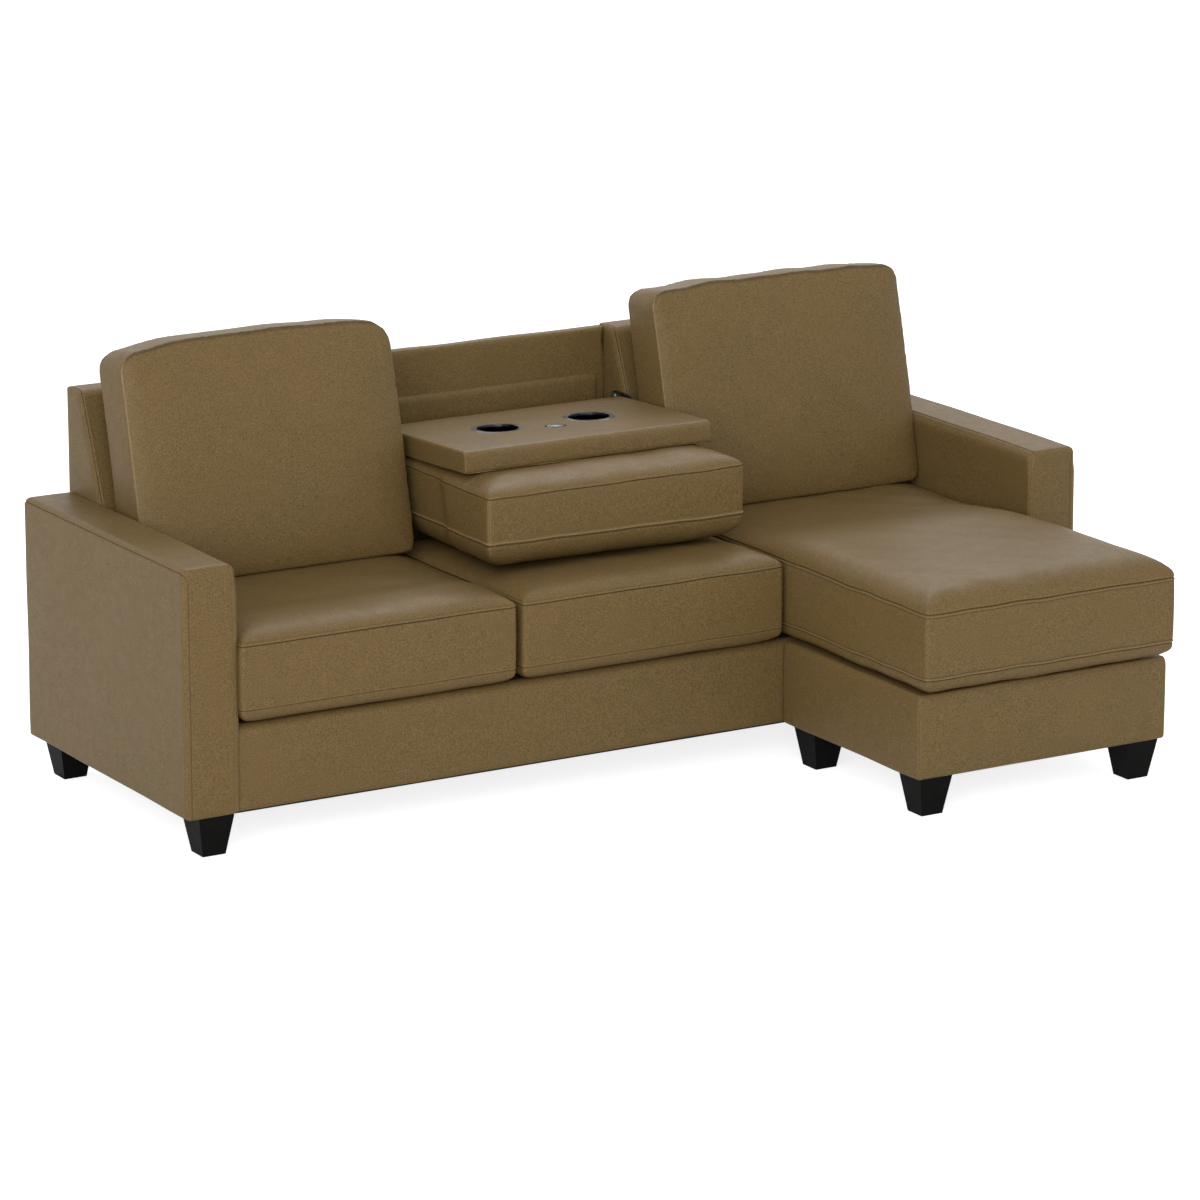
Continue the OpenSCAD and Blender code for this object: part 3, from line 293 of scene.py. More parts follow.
leather = leather_finish()
finishes = {
    "frame_wood": wood_finish(),
    "lining": cloth_finish(),
    "foam": foam_finish(),
    "leg_black": leg_finish(),
    "glide": plastic_finish(),
    "black_steel": metal_finish("black_steel", tone(44, 43, 42), tone(24, 23, 23), 0.42, 0.5),
    "zinc_steel": metal_finish("zinc_steel", tone(190, 191, 190), tone(150, 152, 153), 0.34),
    "cup_steel": metal_finish("gunmetal", tone(150, 152, 158), tone(98, 100, 106), 0.3, hollow=True),
    "disc_metal": metal_finish("chrome", tone(136, 138, 144), tone(86, 88, 94), 0.16),
}


# Skins: box-shaped grids that are bent into cushions, arms and pads

class Skin:
    """A box-shaped grid of points whose six sides share the points of their edges."""

    def __init__(self, xs, ys, zs):
        self.axes = [np.asarray(marks) for marks in (xs, ys, zs)]
        self.shell = np.ones([len(marks) for marks in self.axes], bool)
        self.shell[1:-1, 1:-1, 1:-1] = False
        numbers = np.full(self.shell.shape, -1)
        numbers[self.shell] = np.arange(self.shell.sum())
        self.raw = np.stack(np.meshgrid(*self.axes, indexing="ij"), -1)[self.shell]
        quads = []
        for axis in range(3):
            for end in (0, -1):
                side = np.take(numbers, end, axis)
                side = side.T if axis == 1 else side
                quad = np.stack([side[:-1, :-1], side[1:, :-1], side[1:, 1:], side[:-1, 1:]], -1)
                quads.append(quad.reshape(-1, 4)[:, ::1 if end else -1])
        self.quads = np.concatenate(quads)

    def normals(self, points):
        """Outward directions at the points, averaged over the faces around them."""
        a, b, c, d = (points[self.quads[:, k]] for k in range(4))
        facing = np.cross(c - a, d - b)
        total = np.zeros_like(points)
        for k in range(4):
            np.add.at(total, self.quads[:, k], facing)
        return total / np.maximum(np.linalg.norm(total, axis=1, keepdims=True), NONZERO)


# Close rows beside seams and sharp edges, and the random waves of slack leather
SEAM_ROWS = [row * mm for row in (0, 0.6, 1.2, 2, 3, 4.2, 5.6, 7, 8.4, 10)]
STEEP_ROWS = [row * mm for row in (0, 0.02, 0.07, 0.16, 0.3, 0.6, 1.2, 2.2, 4, 6.5, 10)]
CLOSEST = 0.01 * mm
RIPPLE_WAVES = 6
RIPPLE_LENGTHS = (0.7, 1.9)
UNEVEN_WAVES = 9
UNEVEN_LENGTHS = (0.7, 1.6)
FOLD_ENDS = 1.15


def lines(low, high, fine, step, rows):
    """Grid lines from low to high a step apart, with close rows on both sides of each fine place."""
    marks = {low, high}
    for place in fine:
        marks.update(place + sign * row for sign in (-1, 1) for row in rows)
    marks = sorted(m for m in marks if low <= m <= high)
    kept = [marks[0]]
    for mark in marks[1:]:
        if mark - kept[-1] > CLOSEST:
            kept.append(mark)
    kept[-1] = high
    result = [low]
    for a, b in zip(kept, kept[1:]):
        count = max(1, round((b - a) / step))
        result.extend(a + (b - a) * (i + 1) / count for i in range(count))
    return np.array(result)


def ripple(along, wave, seed):
    """A smooth random wave from about -1 to 1 along a line."""
    dice = np.random.default_rng(seed)
    total = 0
    for _ in range(RIPPLE_WAVES):
        length = wave * dice.uniform(*RIPPLE_LENGTHS)
        total = total + np.sin(2 * math.pi * along / length + dice.uniform(0, 2 * math.pi))
    return total / (0.5 * RIPPLE_WAVES)


def unevenness(points, wave, seed):
    """A smooth random height from about -1 to 1 over a surface."""
    dice = np.random.default_rng(seed)
    total = 0
    for _ in range(UNEVEN_WAVES):
        way = dice.normal(size=3)
        way /= np.linalg.norm(way) * wave * dice.uniform(*UNEVEN_LENGTHS)
        total = total + np.sin(2 * math.pi * points @ way + dice.uniform(0, 2 * math.pi))
    return total / (0.4 * UNEVEN_WAVES)


def groove(distance, width):
    """1 on a line, falling away within about a width of it."""
    return np.exp(-(distance / width) ** 2)


def fold(points, start, end, width):
    """1 along the line from start to end, fading towards its ends and sideways."""
    start, end = np.array(start), np.array(end)
    run = end - start
    share = (points - start) @ run / (run @ run)
    nearest = start + np.clip(share, 0, 1)[:, None] * run
    away = np.linalg.norm(points - nearest, axis=1)
    fade = np.clip(FOLD_ENDS - np.abs(2 * share - 1), 0, 1)
    return np.exp(-(away / width) ** 2) * fade


def add_object(name, data):
    made = bpy.data.objects.new(name, data)
    scene.collection.objects.link(made)
    return made


def add_mesh(name, points, faces):
    mesh = bpy.data.meshes.new(name)
    mesh.from_pydata(points, [], faces)
    return add_object(name, mesh)


def add_piece(name, body, points, quads, nodes, seam):
    """Makes a padded leather piece that rides on a body and stands for the nodes."""
    made = add_mesh(name, points.tolist(), quads.tolist())
    mesh = made.data
    mesh.shade_smooth()
    mesh.materials.append(leather)
    # The seam values are painted light: painted shade in the grooves above 0, painted highlights on lips and
    # welts below 0
    mesh.attributes.new("seam", "FLOAT", "POINT").data.foreach_set("value", np.clip(seam, -1, 1))
    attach(made, body)
    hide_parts(*nodes)
    return made


# Loose cushions and the console cushion

# How a puffed panel rises from its seam, from soft to full
SOFT = (2.2, 0.62)
ROUND = (3, 0.55)
PLUMP = (6, 0.5)
FULL = (14, 0.5)

CORNER = 9 * mm
SWELL = 3.75 * mm
SIDE_BLUNTNESS = 0.6
ARCH_BEND = 2.5
STEP = 7 * mm
SEAM_DEPTH = 1.6 * mm
SEAM_WIDTH = 1.5 * mm
SEAM_LINE = 0.95 * mm
LIP_AT = 2.6 * mm
LIP_HEIGHT = 0.5 * mm
LIP_WIDTH = 1.6 * mm
# Strength of the painted highlight on the lip of the high and of the low seam
LIP_HIGHLIGHTS = (0.3, 0.4)
PUCKER_WAVE = 26 * mm
PUCKER_REACH = 16 * mm
PUCKER_CORNER = 60 * mm
HOLLOWS = ((0.7 * mm, 210 * mm, 50), (0.15 * mm, 60 * mm, 60))
WAVES = 150 * mm
SEAM_WAVER = 0.8 * mm
ON_PANEL = 0.99


def puff(inset, shape):
    """Height of a puffed panel, as a share of its whole, at an inset from 0 at its seam to 1."""
    return (1 - (1 - np.clip(inset, 0, 1)) ** shape[0]) ** shape[1]


def fall(value, start, end):
    """Goes smoothly from 1 at the start to 0 at the end."""
    t = np.clip((value - start) / (end - start), 0, 1)
    return 1 - t * t * (3 - 2 * t)


class Cushion:
    """A boxed cushion: x and y lie in its panels, z runs from its low seam at 0 to its high seam."""

    low_shape = FULL
    high_shape = SOFT
    swell = SWELL
    corner = (CORNER, CORNER, CORNER)
    arch = (0, 0)
    tilt = 0
    rise = 0
    waver = 0
    # Strength of the painted shade in the high and in the low seam
    tones = (1, 1)
    reach = None
    lift = None
    fill = 0.8
    low_cap = 1 * mm
    side_cap = 0.8 * mm
    drift = None

    def __init__(self, name, body, nodes, width, length, boxing, belly, crown, place, **own):
        self.name = name
        self.body = body
        self.nodes = nodes
        self.half = np.array([width / 2, length / 2])
        self.boxing = boxing
        self.belly = belly
        self.crown = crown
        self.place = place
        for key, value in own.items():
            setattr(self, key, value)

    def skin(self, step, panel_rows, boxing_rows):
        half_w, half_l = self.half
        return Skin(
            lines(-half_w, half_w, (-half_w, half_w), step, panel_rows),
            lines(-half_l, half_l, (-half_l, half_l), step, panel_rows),
            lines(0, self.boxing, (0, self.boxing), step, boxing_rows),
        )

    def edges(self, raw):
        """Distances from the nearest side across x and across y."""
        away = np.maximum(self.half - np.abs(raw[:, :2]), 0)
        return away[:, 0], away[:, 1]

    def puffed(self, raw):
        """How far the points of the panels lie above the high seam or below the low one."""
        y, z = raw[:, 1:].T
        ex, ey = self.edges(raw)
        inset = ex * ey / ((ex ** 4 + ey ** 4) ** 0.25 + TINY)
        half = self.half.min()
        crown = self.crown + (self.lift(self, y) if self.lift else 0)
        top = crown * puff(inset / (self.reach or half), self.high_shape)
        return np.where(z > self.boxing / 2, top, -self.belly * puff(inset / half, self.low_shape))

    def form(self, raw):
        """Bends the grid into a crowned cushion with rounded corners and swelling sides."""
        x, y, z = raw.T
        ex, ey = self.edges(raw)
        half_w, half_l = self.half
        r = np.where(y > 0, np.where(x > 0, self.corner[2], self.corner[1]), self.corner[0])
        a = np.clip(1 - ex / r, 0, 1)
        b = np.clip(1 - ey / r, 0, 1)
        px = np.minimum(np.abs(x), half_w - r) + r * a * np.sqrt(1 - b * b / 2)
        py = np.minimum(np.abs(y), half_l - r) + r * b * np.sqrt(1 - a * a / 2)
        points = np.stack([np.sign(x) * px, np.sign(y) * py, z + self.puffed(raw)], -1)
        share = np.clip(z / self.boxing, 0, 1)
        along = (1 - (x / half_w) ** 2) + (1 - (y / half_l) ** 2)
        out = self.swell * np.sin(math.pi * share) ** SIDE_BLUNTNESS * (1 / 3 + along * 2 / 3)
        corner = np.stack([np.sign(x) * np.maximum(px - half_w + r, 0),
                           np.sign(y) * np.maximum(py - half_l + r, 0)], -1)
        corner /= np.maximum(np.linalg.norm(corner, axis=1, keepdims=True), TINY)
        on_side = (np.minimum(ex, ey) < TINY)[:, None]
        points[:, :2] += corner * out[:, None] * on_side
        upper = np.clip(0.5 + y / half_l / 2, 0, 1) ** 2
        droop = np.where(x < 0, *self.arch) * np.abs(x / half_w) ** ARCH_BEND
        wave = self.waver * ripple(x, WAVES, self.seed)
        points[:, 1] += (self.rise - droop - self.tilt * (1 - share) + wave) * upper
        points[:, 2] += SEAM_WAVER * ripple(x + y, WAVES, self.seed + 3)
        return points

    def seams(self, raw):
        """Distances from the high and the low seam: positive on their panels, negative on the boxing."""
        along = np.hypot(np.minimum(*self.edges(raw)), self.puffed(raw))
        z = raw[:, 2]
        on_high = z > self.boxing - TINY
        on_low = z < TINY
        return np.where(on_high, along, z - self.boxing), np.where(on_low, along, -z)

    def relief(self, raw):
        """Height of seams, puckers and soft hollows, outwards from the form, with painted shade in the seams
        and painted highlights on their lips.
        """
        x, y = raw[:, :2].T
        ex, ey = self.edges(raw)
        high, low = self.seams(raw)
        height = np.zeros(len(raw))
        dark = np.zeros(len(raw))
        for k, apart in enumerate((high, low)):
            lip = apart - (LIP_AT, -LIP_AT)[k]
            height -= SEAM_DEPTH * groove(apart, SEAM_WIDTH)
            height += LIP_HEIGHT * groove(lip, LIP_WIDTH)
            # Painted shade along each seam and a painted highlight on its lip
            dark += self.tones[k] * groove(apart, SEAM_LINE) - LIP_HIGHLIGHTS[k] * groove(lip, SEAM_LINE)
            for j, (along, away) in enumerate(((x, ey), (y, ex))):
                stretch = np.where(j, 1.0, np.sign(y) + 2.5)
                wave = ripple(along * stretch, PUCKER_WAVE, self.seed * 10 + k * 2 + j)
                near = np.exp(-np.abs(apart) / PUCKER_REACH) * (away < PUCKER_CORNER)
                height += self.pucker * wave * near
        for depth, wave, seed in HOLLOWS:
            height += depth * unevenness(raw, wave, self.seed + seed)
        more, shade = self.details(self, raw, high, low)
        return height + more, dark + shade

    def build(self):
        """Makes the cushion on a fine grid, with its simulated slack and its seams."""
        skin = self.skin(STEP, STEEP_ROWS, SEAM_ROWS)
        points = self.form(skin.raw)
        if self.drift is not None:
            points = points + self.drift(skin)
        height, dark = self.relief(skin.raw)
        points = points + skin.normals(points) * height[:, None]
        add_piece(self.name, self.body, self.place(points), skin.quads, self.nodes, dark)


# Simulated slack: coarse copies of the cushions are inflated, and how they moved is read on the fine ones

COARSE = 15 * mm
FRAMES = 20
PRESSURE = 4
SLACK = -0.012
QUALITY = 6
SMOOTHINGS = 30


def weights(lines_at, knots):
    """Rows of weights that read values held at the knots smoothly at the lines."""
    k = np.clip(np.searchsorted(knots, lines_at, side="right") - 1, 0, len(knots) - 2)
    gap = (knots[k + 1] - knots[k])[:, None]
    t = (lines_at - knots[k])[:, None] / gap
    held = np.eye(len(knots))
    slope = np.gradient(held, knots, axis=0)
    return (
        (2 * t ** 3 - 3 * t ** 2 + 1) * held[k]
        + (t ** 3 - 2 * t ** 2 + t) * gap * slope[k]
        + (3 * t ** 2 - 2 * t ** 3) * held[k + 1]
        + (t ** 3 - t ** 2) * gap * slope[k + 1]
    )


def reader(coarse, moved):
    """A function that gives the coarse skin's movement at the points of a finer one."""
    def read(fine):
        held = np.zeros(coarse.shell.shape + (3,))
        held[coarse.shell] = moved
        found = np.zeros(fine.shell.shape + (3,))
        rows = [weights(a, b) for a, b in zip(fine.axes, coarse.axes)]
        for axis in range(3):
            one, two = (rows[k] for k in range(3) if k != axis)
            for end in (0, -1):
                side = np.einsum("ia,abc,jb->ijc", one, np.take(held, end, axis), two)
                at = [slice(None)] * 3
                at[axis] = end
                found[tuple(at)] = side
        return found[fine.shell]
    return read


def smoothed(skin, moved):
    """Takes the short ripples out of a skin's movement and leaves its broad swells."""
    for _ in range(SMOOTHINGS):
        centres = moved[skin.quads].mean(1)
        total = np.zeros_like(moved)
        count = np.zeros((len(moved), 1))
        for k in range(4):
            np.add.at(total, skin.quads[:, k], centres)
            np.add.at(count, skin.quads[:, k], 1)
        moved = total / count
    return moved


def inflate(cushions):
    """Inflates slack copies of the cushions with Blender's cloth and keeps how far they moved."""
    trials = []
    for cushion in cushions:
        skin = cushion.skin(COARSE, [0], [0])
        rest = cushion.form(skin.raw)
        trial = add_mesh("trial_" + cushion.name, rest.tolist(), skin.quads.tolist())
        held = trial.vertex_groups.new(name="held")
        high, low = cushion.seams(skin.raw)
        pinned = np.nonzero(np.minimum(np.abs(high), np.abs(low)) < 1 * mm)[0]
        held.add(pinned.tolist(), 1.0, "REPLACE")
        cloth = trial.modifiers.new("cloth", "CLOTH")
        cloth.settings.vertex_group_mass = "held"
        cloth.settings.use_pressure = True
        cloth.settings.uniform_pressure_force = PRESSURE
        cloth.settings.shrink_min = SLACK
        cloth.settings.effector_weights.gravity = 0
        cloth.settings.quality = QUALITY
        cloth.point_cache.frame_start = 1
        cloth.point_cache.frame_end = FRAMES
        trials.append((cushion, skin, rest, trial))
    for number in range(1, FRAMES + 1):
        scene.frame_set(number)
    graph = bpy.context.evaluated_depsgraph_get()
    for cushion, skin, rest, trial in trials:
        shown = trial.evaluated_get(graph)
        flat = np.empty(len(rest) * 3, np.float32)
        shown.data.vertices.foreach_get("co", flat)
        moved = smoothed(skin, flat.reshape(-1, 3) - rest)
        inner = np.minimum(*cushion.edges(skin.raw)) > TINY
        high = skin.raw[:, 2] > cushion.boxing / 2
        cap = np.where(inner, np.where(high, cushion.high_cap, cushion.low_cap), cushion.side_cap)
        far = np.linalg.norm(moved, axis=1) + NONZERO
        moved *= (cap * np.tanh(far / cap) / far)[:, None]
        cushion.drift = reader(skin, moved)
        bpy.data.objects.remove(trial)
    scene.frame_set(1)


def box_of(node):
    """The low and high corners of a node's solid."""
    low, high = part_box(node)
    return np.array(low), np.array(high)


SEAT_BELLY = 34 * mm
SEAT_CROWN = 26 * mm
SEAT_REACH = 120 * mm
# Painted shade in the seat's seams, lighter in the low one
SEAT_SEAM_SHADES = (1, 0.6)
SEAT_LIFT = 8 * mm
SEAT_LIFT_END = (115 * mm, 215 * mm)
SPREAD = 3 * mm
FLAT_PUCKER = 0.12 * mm
FLAT_CAP = 0.5 * mm
CHAISE_BELLY = 36 * mm
CHAISE_CROWN = 16 * mm
CHAISE_LIFT = 34 * mm
CHAISE_LIFT_END = (300 * mm, 620 * mm)
CHAISE_ASIDE = -3 * mm
CHAISE_FLARE = (3 * mm, 8 * mm)
FLARE_END = (300 * mm, 480 * mm)
STITCH_AT = 7 * mm
STITCH_DEPTH = 0.3 * mm
STITCH_WIDTH = 1.2 * mm
STITCH_LINE = 1 * mm
STITCH_TONE = 0.3
WELT_AT = 4.2 * mm
WELT_HEIGHT = 1.1 * mm
WELT_WIDTH = 2.4 * mm
WELT_HIGHLIGHT = 0.3
WELT_LINE_DEPTH = 0.9 * mm
WELT_LINE_WIDTH = 1.4 * mm
WELT_LINE_SHADE = 0.75


def seat_lift(cushion, y):
    """More crown along the front edge."""
    front = cushion.half[1] + y
    return SEAT_LIFT * fall(front, *SEAT_LIFT_END)


def chaise_lift(cushion, y):
    """More crown ahead of the back cushion."""
    rear = cushion.half[1] - y
    return CHAISE_LIFT * (1 - fall(rear, *CHAISE_LIFT_END))


def seat_details(cushion, raw, high, low):
    """A faint row of stitches beside the top seam."""
    apart = high - STITCH_AT
    return -STITCH_DEPTH * groove(apart, STITCH_WIDTH), STITCH_TONE * groove(apart, STITCH_LINE)


def chaise_details(cushion, raw, high, low):
    """Flat welts: raised bands on the boxing with a painted highlight, and beside each seam a second grooved
    line with painted shade.
    """
    height = np.zeros(len(raw))
    shade = np.zeros(len(raw))
    for apart in (high, low):
        welt = apart + WELT_AT
        line = apart + STITCH_AT
        height += WELT_HEIGHT * groove(welt, WELT_WIDTH) - WELT_LINE_DEPTH * groove(line, WELT_LINE_WIDTH)
        # Painted shade in the second line and a painted highlight on the welt
        shade += WELT_LINE_SHADE * groove(line, SEAM_LINE) - WELT_HIGHLIGHT * groove(welt, LIP_WIDTH)
    return height, shade


def flat_cushion(name, body, cover, foam, belly, crown, aside=0, flare=(0, 0), **own):
    """A seat cushion that lies flat where its cover's solid is, a little aside and wider ahead of the arm."""
    low, high = box_of(cover)
    size = high - low
    middle = (low + high) / 2

    def place(points):
        ahead = fall(points[:, 1] + size[1] / 2, *FLARE_END)
        points = points + [middle[0] + aside, middle[1], low[2] + belly]
        across = (points[:, 0] - middle[0]) / size[0] * 2
        points[:, 0] += ahead * across * np.where(across < 0, *flare)
        return points

    return Cushion(
        name, body, [cover, foam], size[0] - 2 * (SWELL - SPREAD), size[1] - 2 * SWELL,
        size[2] - belly - crown, belly, crown - 1 * mm, place, high_shape=ROUND, reach=SEAT_REACH,
        pucker=FLAT_PUCKER, high_cap=FLAT_CAP, **own,
    )


BACK_BOXING = 105 * mm
BACK_CROWN = 30 * mm
BACK_BELLY = 46 * mm
BACK_LEAN = math.radians(10.6)
BACK_CURL = 20 * mm
BACK_TILT = 15 * mm
BACK_WAVER = 1.5 * mm
BACK_WELT = 0.8 * mm
BACK_WELT_LINE = 1.3 * mm
BACK_WELT_HIGHLIGHT = 2.1
TOP_SEAM_DEPTH = 1.2 * mm
TOP_SEAM_WIDTH = 2.2 * mm
TOP_SHADOW_AT = 2.5 * mm
TOP_SHADOW_WIDTH = 3.5 * mm
TOP_SHADOW_TONE = 0.85
BACK_PUCKER = 0.5 * mm
BACK_CAP = 2 * mm
BACK_SIDE_CAP = 1.5 * mm
UPRIGHT_WITHIN = 20 * mm
GATHER_DEPTH = 1.5 * mm
GATHER_WAVE = 60 * mm
GATHER_REACH = 34 * mm


def back_details(cushion, raw, high, low):
    """Raised seams up the sides with a painted highlight, puckers along the top seam with a painted shadow
    under it, and dents in the upper corners.
    """
    x, y, z = raw.T
    half_w, half_l = cushion.half
    ex, ey = cushion.edges(raw)
    front = z > cushion.boxing * ON_PANEL
    upright = fall(ex - ey, -UPRIGHT_WITHIN, UPRIGHT_WITHIN)
    height = (SEAM_DEPTH + BACK_WELT) * upright * groove(high, SEAM_WIDTH)
    # Painted highlight on the side seams in place of the lip highlight, and painted shadow under the top seam
    pale = BACK_WELT_HIGHLIGHT * groove(high, BACK_WELT_LINE)
    shade = upright * (LIP_HIGHLIGHTS[0] * groove(high - LIP_AT, SEAM_LINE) - pale)
    shade += (1 - upright) * TOP_SHADOW_TONE * groove(high - TOP_SHADOW_AT, TOP_SHADOW_WIDTH)
    height -= TOP_SEAM_DEPTH * (1 - upright) * groove(high, TOP_SEAM_WIDTH)
    top = half_l - y
    gather = ripple(x, GATHER_WAVE, cushion.seed + 7) * np.exp(-np.maximum(top, 0) / GATHER_REACH)
    height += GATHER_DEPTH * gather * front
    for start, end, depth, width in (
        ((-half_w + 26 * mm, half_l - 60 * mm), (-half_w + 80 * mm, half_l - 34 * mm), 3.5 * mm, 15 * mm),
        ((-half_w + 20 * mm, half_l - 160 * mm), (-half_w + 62 * mm, half_l - 200 * mm), 2 * mm, 17 * mm),
        ((-0.1 * half_w, half_l - 12 * mm), (0.08 * half_w, half_l - 34 * mm), 3 * mm, 12 * mm),
        ((half_w - 80 * mm, half_l - 30 * mm), (half_w - 34 * mm, half_l - 62 * mm), 3 * mm, 16 * mm),
    ):
        height -= depth * fold(raw[:, :2], start, end, width) * front
    return height, shade


def back_cushion(name, seed, corner, arch, rise, wider=0):
    """A back cushion that stands on its lower edge and leans, where its cover's solid is."""
    cover = "back_cover_loose_" + name
    low, high = box_of(cover)
    low[0] -= wider
    length = high[2] - low[2]

    def leaned(points):
        x, y, z = points.T
        up = y + length / 2
        return np.stack([x, -z + up * math.tan(BACK_LEAN) + BACK_CURL * (up / length) ** 2, up], -1)

    made = Cushion(
        "back_cushion_" + name, "back_" + name, [cover, "back_fill_" + name],
        high[0] - low[0] - 2 * SWELL, length - 2 * SWELL, BACK_BOXING, BACK_BELLY, BACK_CROWN, None,
        low_shape=SOFT, seed=seed, details=back_details,
        corner=corner, arch=arch, tilt=BACK_TILT, rise=rise, waver=BACK_WAVER,
        high_cap=BACK_CAP, side_cap=BACK_SIDE_CAP, pucker=BACK_PUCKER,
    )
    base = leaned(made.form(made.skin(COARSE, [0], [0]).raw))
    shift = (low + high - base.min(0) - base.max(0)) / 2
    shift[1:] = [low[1] - base[:, 1].min(), low[2] - base[:, 2].min()]
    made.place = lambda points: leaned(points) + shift
    return made


CONSOLE_BOXING = 95 * mm
CONSOLE_BELLY = 66 * mm
CONSOLE_CROWN = 35 * mm
CONSOLE_SWELL = 2.5 * mm
CONSOLE_SAG = 7 * mm
CONSOLE_SPREAD = 3 * mm
CONSOLE_WAIST = 8 * mm
CONSOLE_CORNER = 12 * mm
CONSOLE_WELT = 1.6 * mm
CONSOLE_WELT_AT = -1 * mm
CONSOLE_WELT_HIGHLIGHT = 1.45
WELT_EDGE_AT = -1.6 * mm
WELT_EDGE_HIGHLIGHT = 0.5
CREASE_AT = 3.6 * mm
CREASE_DEPTH = 1 * mm
CREASE_WIDTH = 1.6 * mm
CREASE_LINE_AT = 3.4 * mm
CORNER_SEAM_IN = 2 * mm
CORNER_SEAM_HEIGHT = 0.8 * mm
CORNER_SEAM_WIDTH = 1.8 * mm
CORNER_SEAM_HIGHLIGHT = 0.5
CONSOLE_PUCKER = 0.15 * mm
CONSOLE_CAP = 0.8 * mm
CONSOLE_SIDE_CAP = 0.3 * mm
DART_IN = 46 * mm
DART_AT = (111 * mm, 103 * mm)
DART_DEPTH = 1.6 * mm
DART_WIDTH = 2.4 * mm
DART_HIGHLIGHT = 0.55
ARM_SWEEP = 165 * mm
ARM_SWEEP_END = 45 * mm
BED_MARGIN = 12 * mm
BED_GAP = 1.2 * mm
TRAY_SLOPE = math.radians(2.6)
TRAY_T = 47 * mm


def console_details(cushion, raw, high, low):
    """A raised welt on the low seam with a painted highlight and painted shade in the crease below it, front
    corner seams and a dart beside the tray with painted highlights.
    """
    y, z = raw[:, 1:].T
    ex, ey = cushion.edges(raw)
    half_w, half_l = cushion.half
    height = (SEAM_DEPTH + CONSOLE_WELT) * groove(low - CONSOLE_WELT_AT, WELT_WIDTH)
    height -= CREASE_DEPTH * groove(low - CREASE_AT, CREASE_WIDTH)
    # Painted shade in the crease below the welt, painted highlights on the welt and its edge
    shade = groove(low - CREASE_LINE_AT, SEAM_LINE)
    shade -= CONSOLE_WELT_HIGHLIGHT * groove(low, SEAM_LINE)
    shade -= WELT_EDGE_HIGHLIGHT * groove(low - WELT_EDGE_AT, SEAM_LINE)
    corner = np.maximum(ex, ey) - CORNER_SEAM_IN + (y > 0) + (np.minimum(ex, ey) > TINY)
    height += CORNER_SEAM_HEIGHT * groove(corner, CORNER_SEAM_WIDTH)
    # Painted highlight on the corner seams
    shade -= CORNER_SEAM_HIGHLIGHT * groove(corner, SEAM_LINE)
    top = z > cushion.boxing * ON_PANEL
    for side in (-1, 1):
        start = (side * half_w, -half_l + DART_AT[0])
        end = (side * (half_w - DART_IN), -half_l + DART_AT[1])
        dart = fold(raw[:, :2], start, end, DART_WIDTH) * top
        height -= DART_DEPTH * dart
        # Painted highlight along the dart
        shade -= DART_HIGHLIGHT * dart
    return height, shade


def console_cushion():
    """The console's cushion, flat under its tray and narrower where its hinge arms and plates turn."""
    low, high = box_of("console_cushion_cover")
    tray_low, tray_high = box_of("console_tray_cover")
    middle = (low + high) / 2
    seam_z = low[2] + CONSOLE_BELLY
    pin_low, pin_high = box_of("hinge_pins")
    pin = (pin_low + pin_high) / 2
    bed_y = tray_low[1] + TRAY_T * math.sin(TRAY_SLOPE)
    bed_z = tray_high[2] - TRAY_T * math.cos(TRAY_SLOPE)

    def place(points):
        rightward = 0.5 + points[:, 0] / (high[0] - low[0])
        points = points + [middle[0], middle[1], seam_z]
        points[:, 2] -= CONSOLE_SAG * rightward * fall(points[:, 2] - seam_z, 0, CONSOLE_BOXING)
        bed = bed_z - BED_GAP - (points[:, 1] - bed_y) * math.tan(TRAY_SLOPE)
        over = points[:, 2] - bed
        points[:, 2] -= np.where(points[:, 1] > bed_y - BED_MARGIN, np.maximum(over, 0), 0)
        apart = np.hypot(points[:, 1] - pin[1], points[:, 2] - pin[2])
        waist = fall(apart, ARM_SWEEP, ARM_SWEEP + ARM_SWEEP_END) * CONSOLE_WAIST
        points[:, 0] *= 1 - waist / (high[0] - middle[0])
        return points

    return Cushion(
        "console_cushion", "console", ["console_cushion_cover", "console_foam"],
        high[0] - low[0] + CONSOLE_SPREAD, high[1] - low[1] - 2 * CONSOLE_SWELL, CONSOLE_BOXING,
        CONSOLE_BELLY - 1 * mm, CONSOLE_CROWN + 2 * mm, place, low_shape=PLUMP, high_shape=ROUND,
        swell=CONSOLE_SWELL, corner=(CONSOLE_CORNER, CONSOLE_CORNER, CONSOLE_CORNER),
        pucker=CONSOLE_PUCKER, seed=31, details=console_details,
        high_cap=CONSOLE_CAP, side_cap=CONSOLE_SIDE_CAP, fill=0.9,
    )


def seat_cushion(name, seed):
    return flat_cushion(
        "seat_cushion_" + name, "seat_" + name, "seat_cover_" + name, "seat_foam_" + name,
        SEAT_BELLY, SEAT_CROWN, seed=seed, lift=seat_lift, details=seat_details, tones=SEAT_SEAM_SHADES,
    )


cushions = [
    seat_cushion("left", seed=11),
    seat_cushion("centre", seed=12),
    flat_cushion(
        "chaise_cushion", "chaise", "chaise_cover", "chaise_foam", CHAISE_BELLY, CHAISE_CROWN,
        CHAISE_ASIDE, CHAISE_FLARE, seed=13, lift=chaise_lift, details=chaise_details,
    ),
    back_cushion(
        "left", seed=21, corner=(24 * mm, 40 * mm, 46 * mm), arch=(20 * mm, 12 * mm), rise=22 * mm,
    ),
    back_cushion(
        "right", seed=22, corner=(22 * mm, 36 * mm, 34 * mm), arch=(10 * mm, 7 * mm), rise=12 * mm,
        wider=6 * mm,
    ),
    console_cushion(),
]
inflate(cushions)
for cushion in cushions:
    cushion.build()


# Upholstered arms, rails and panels

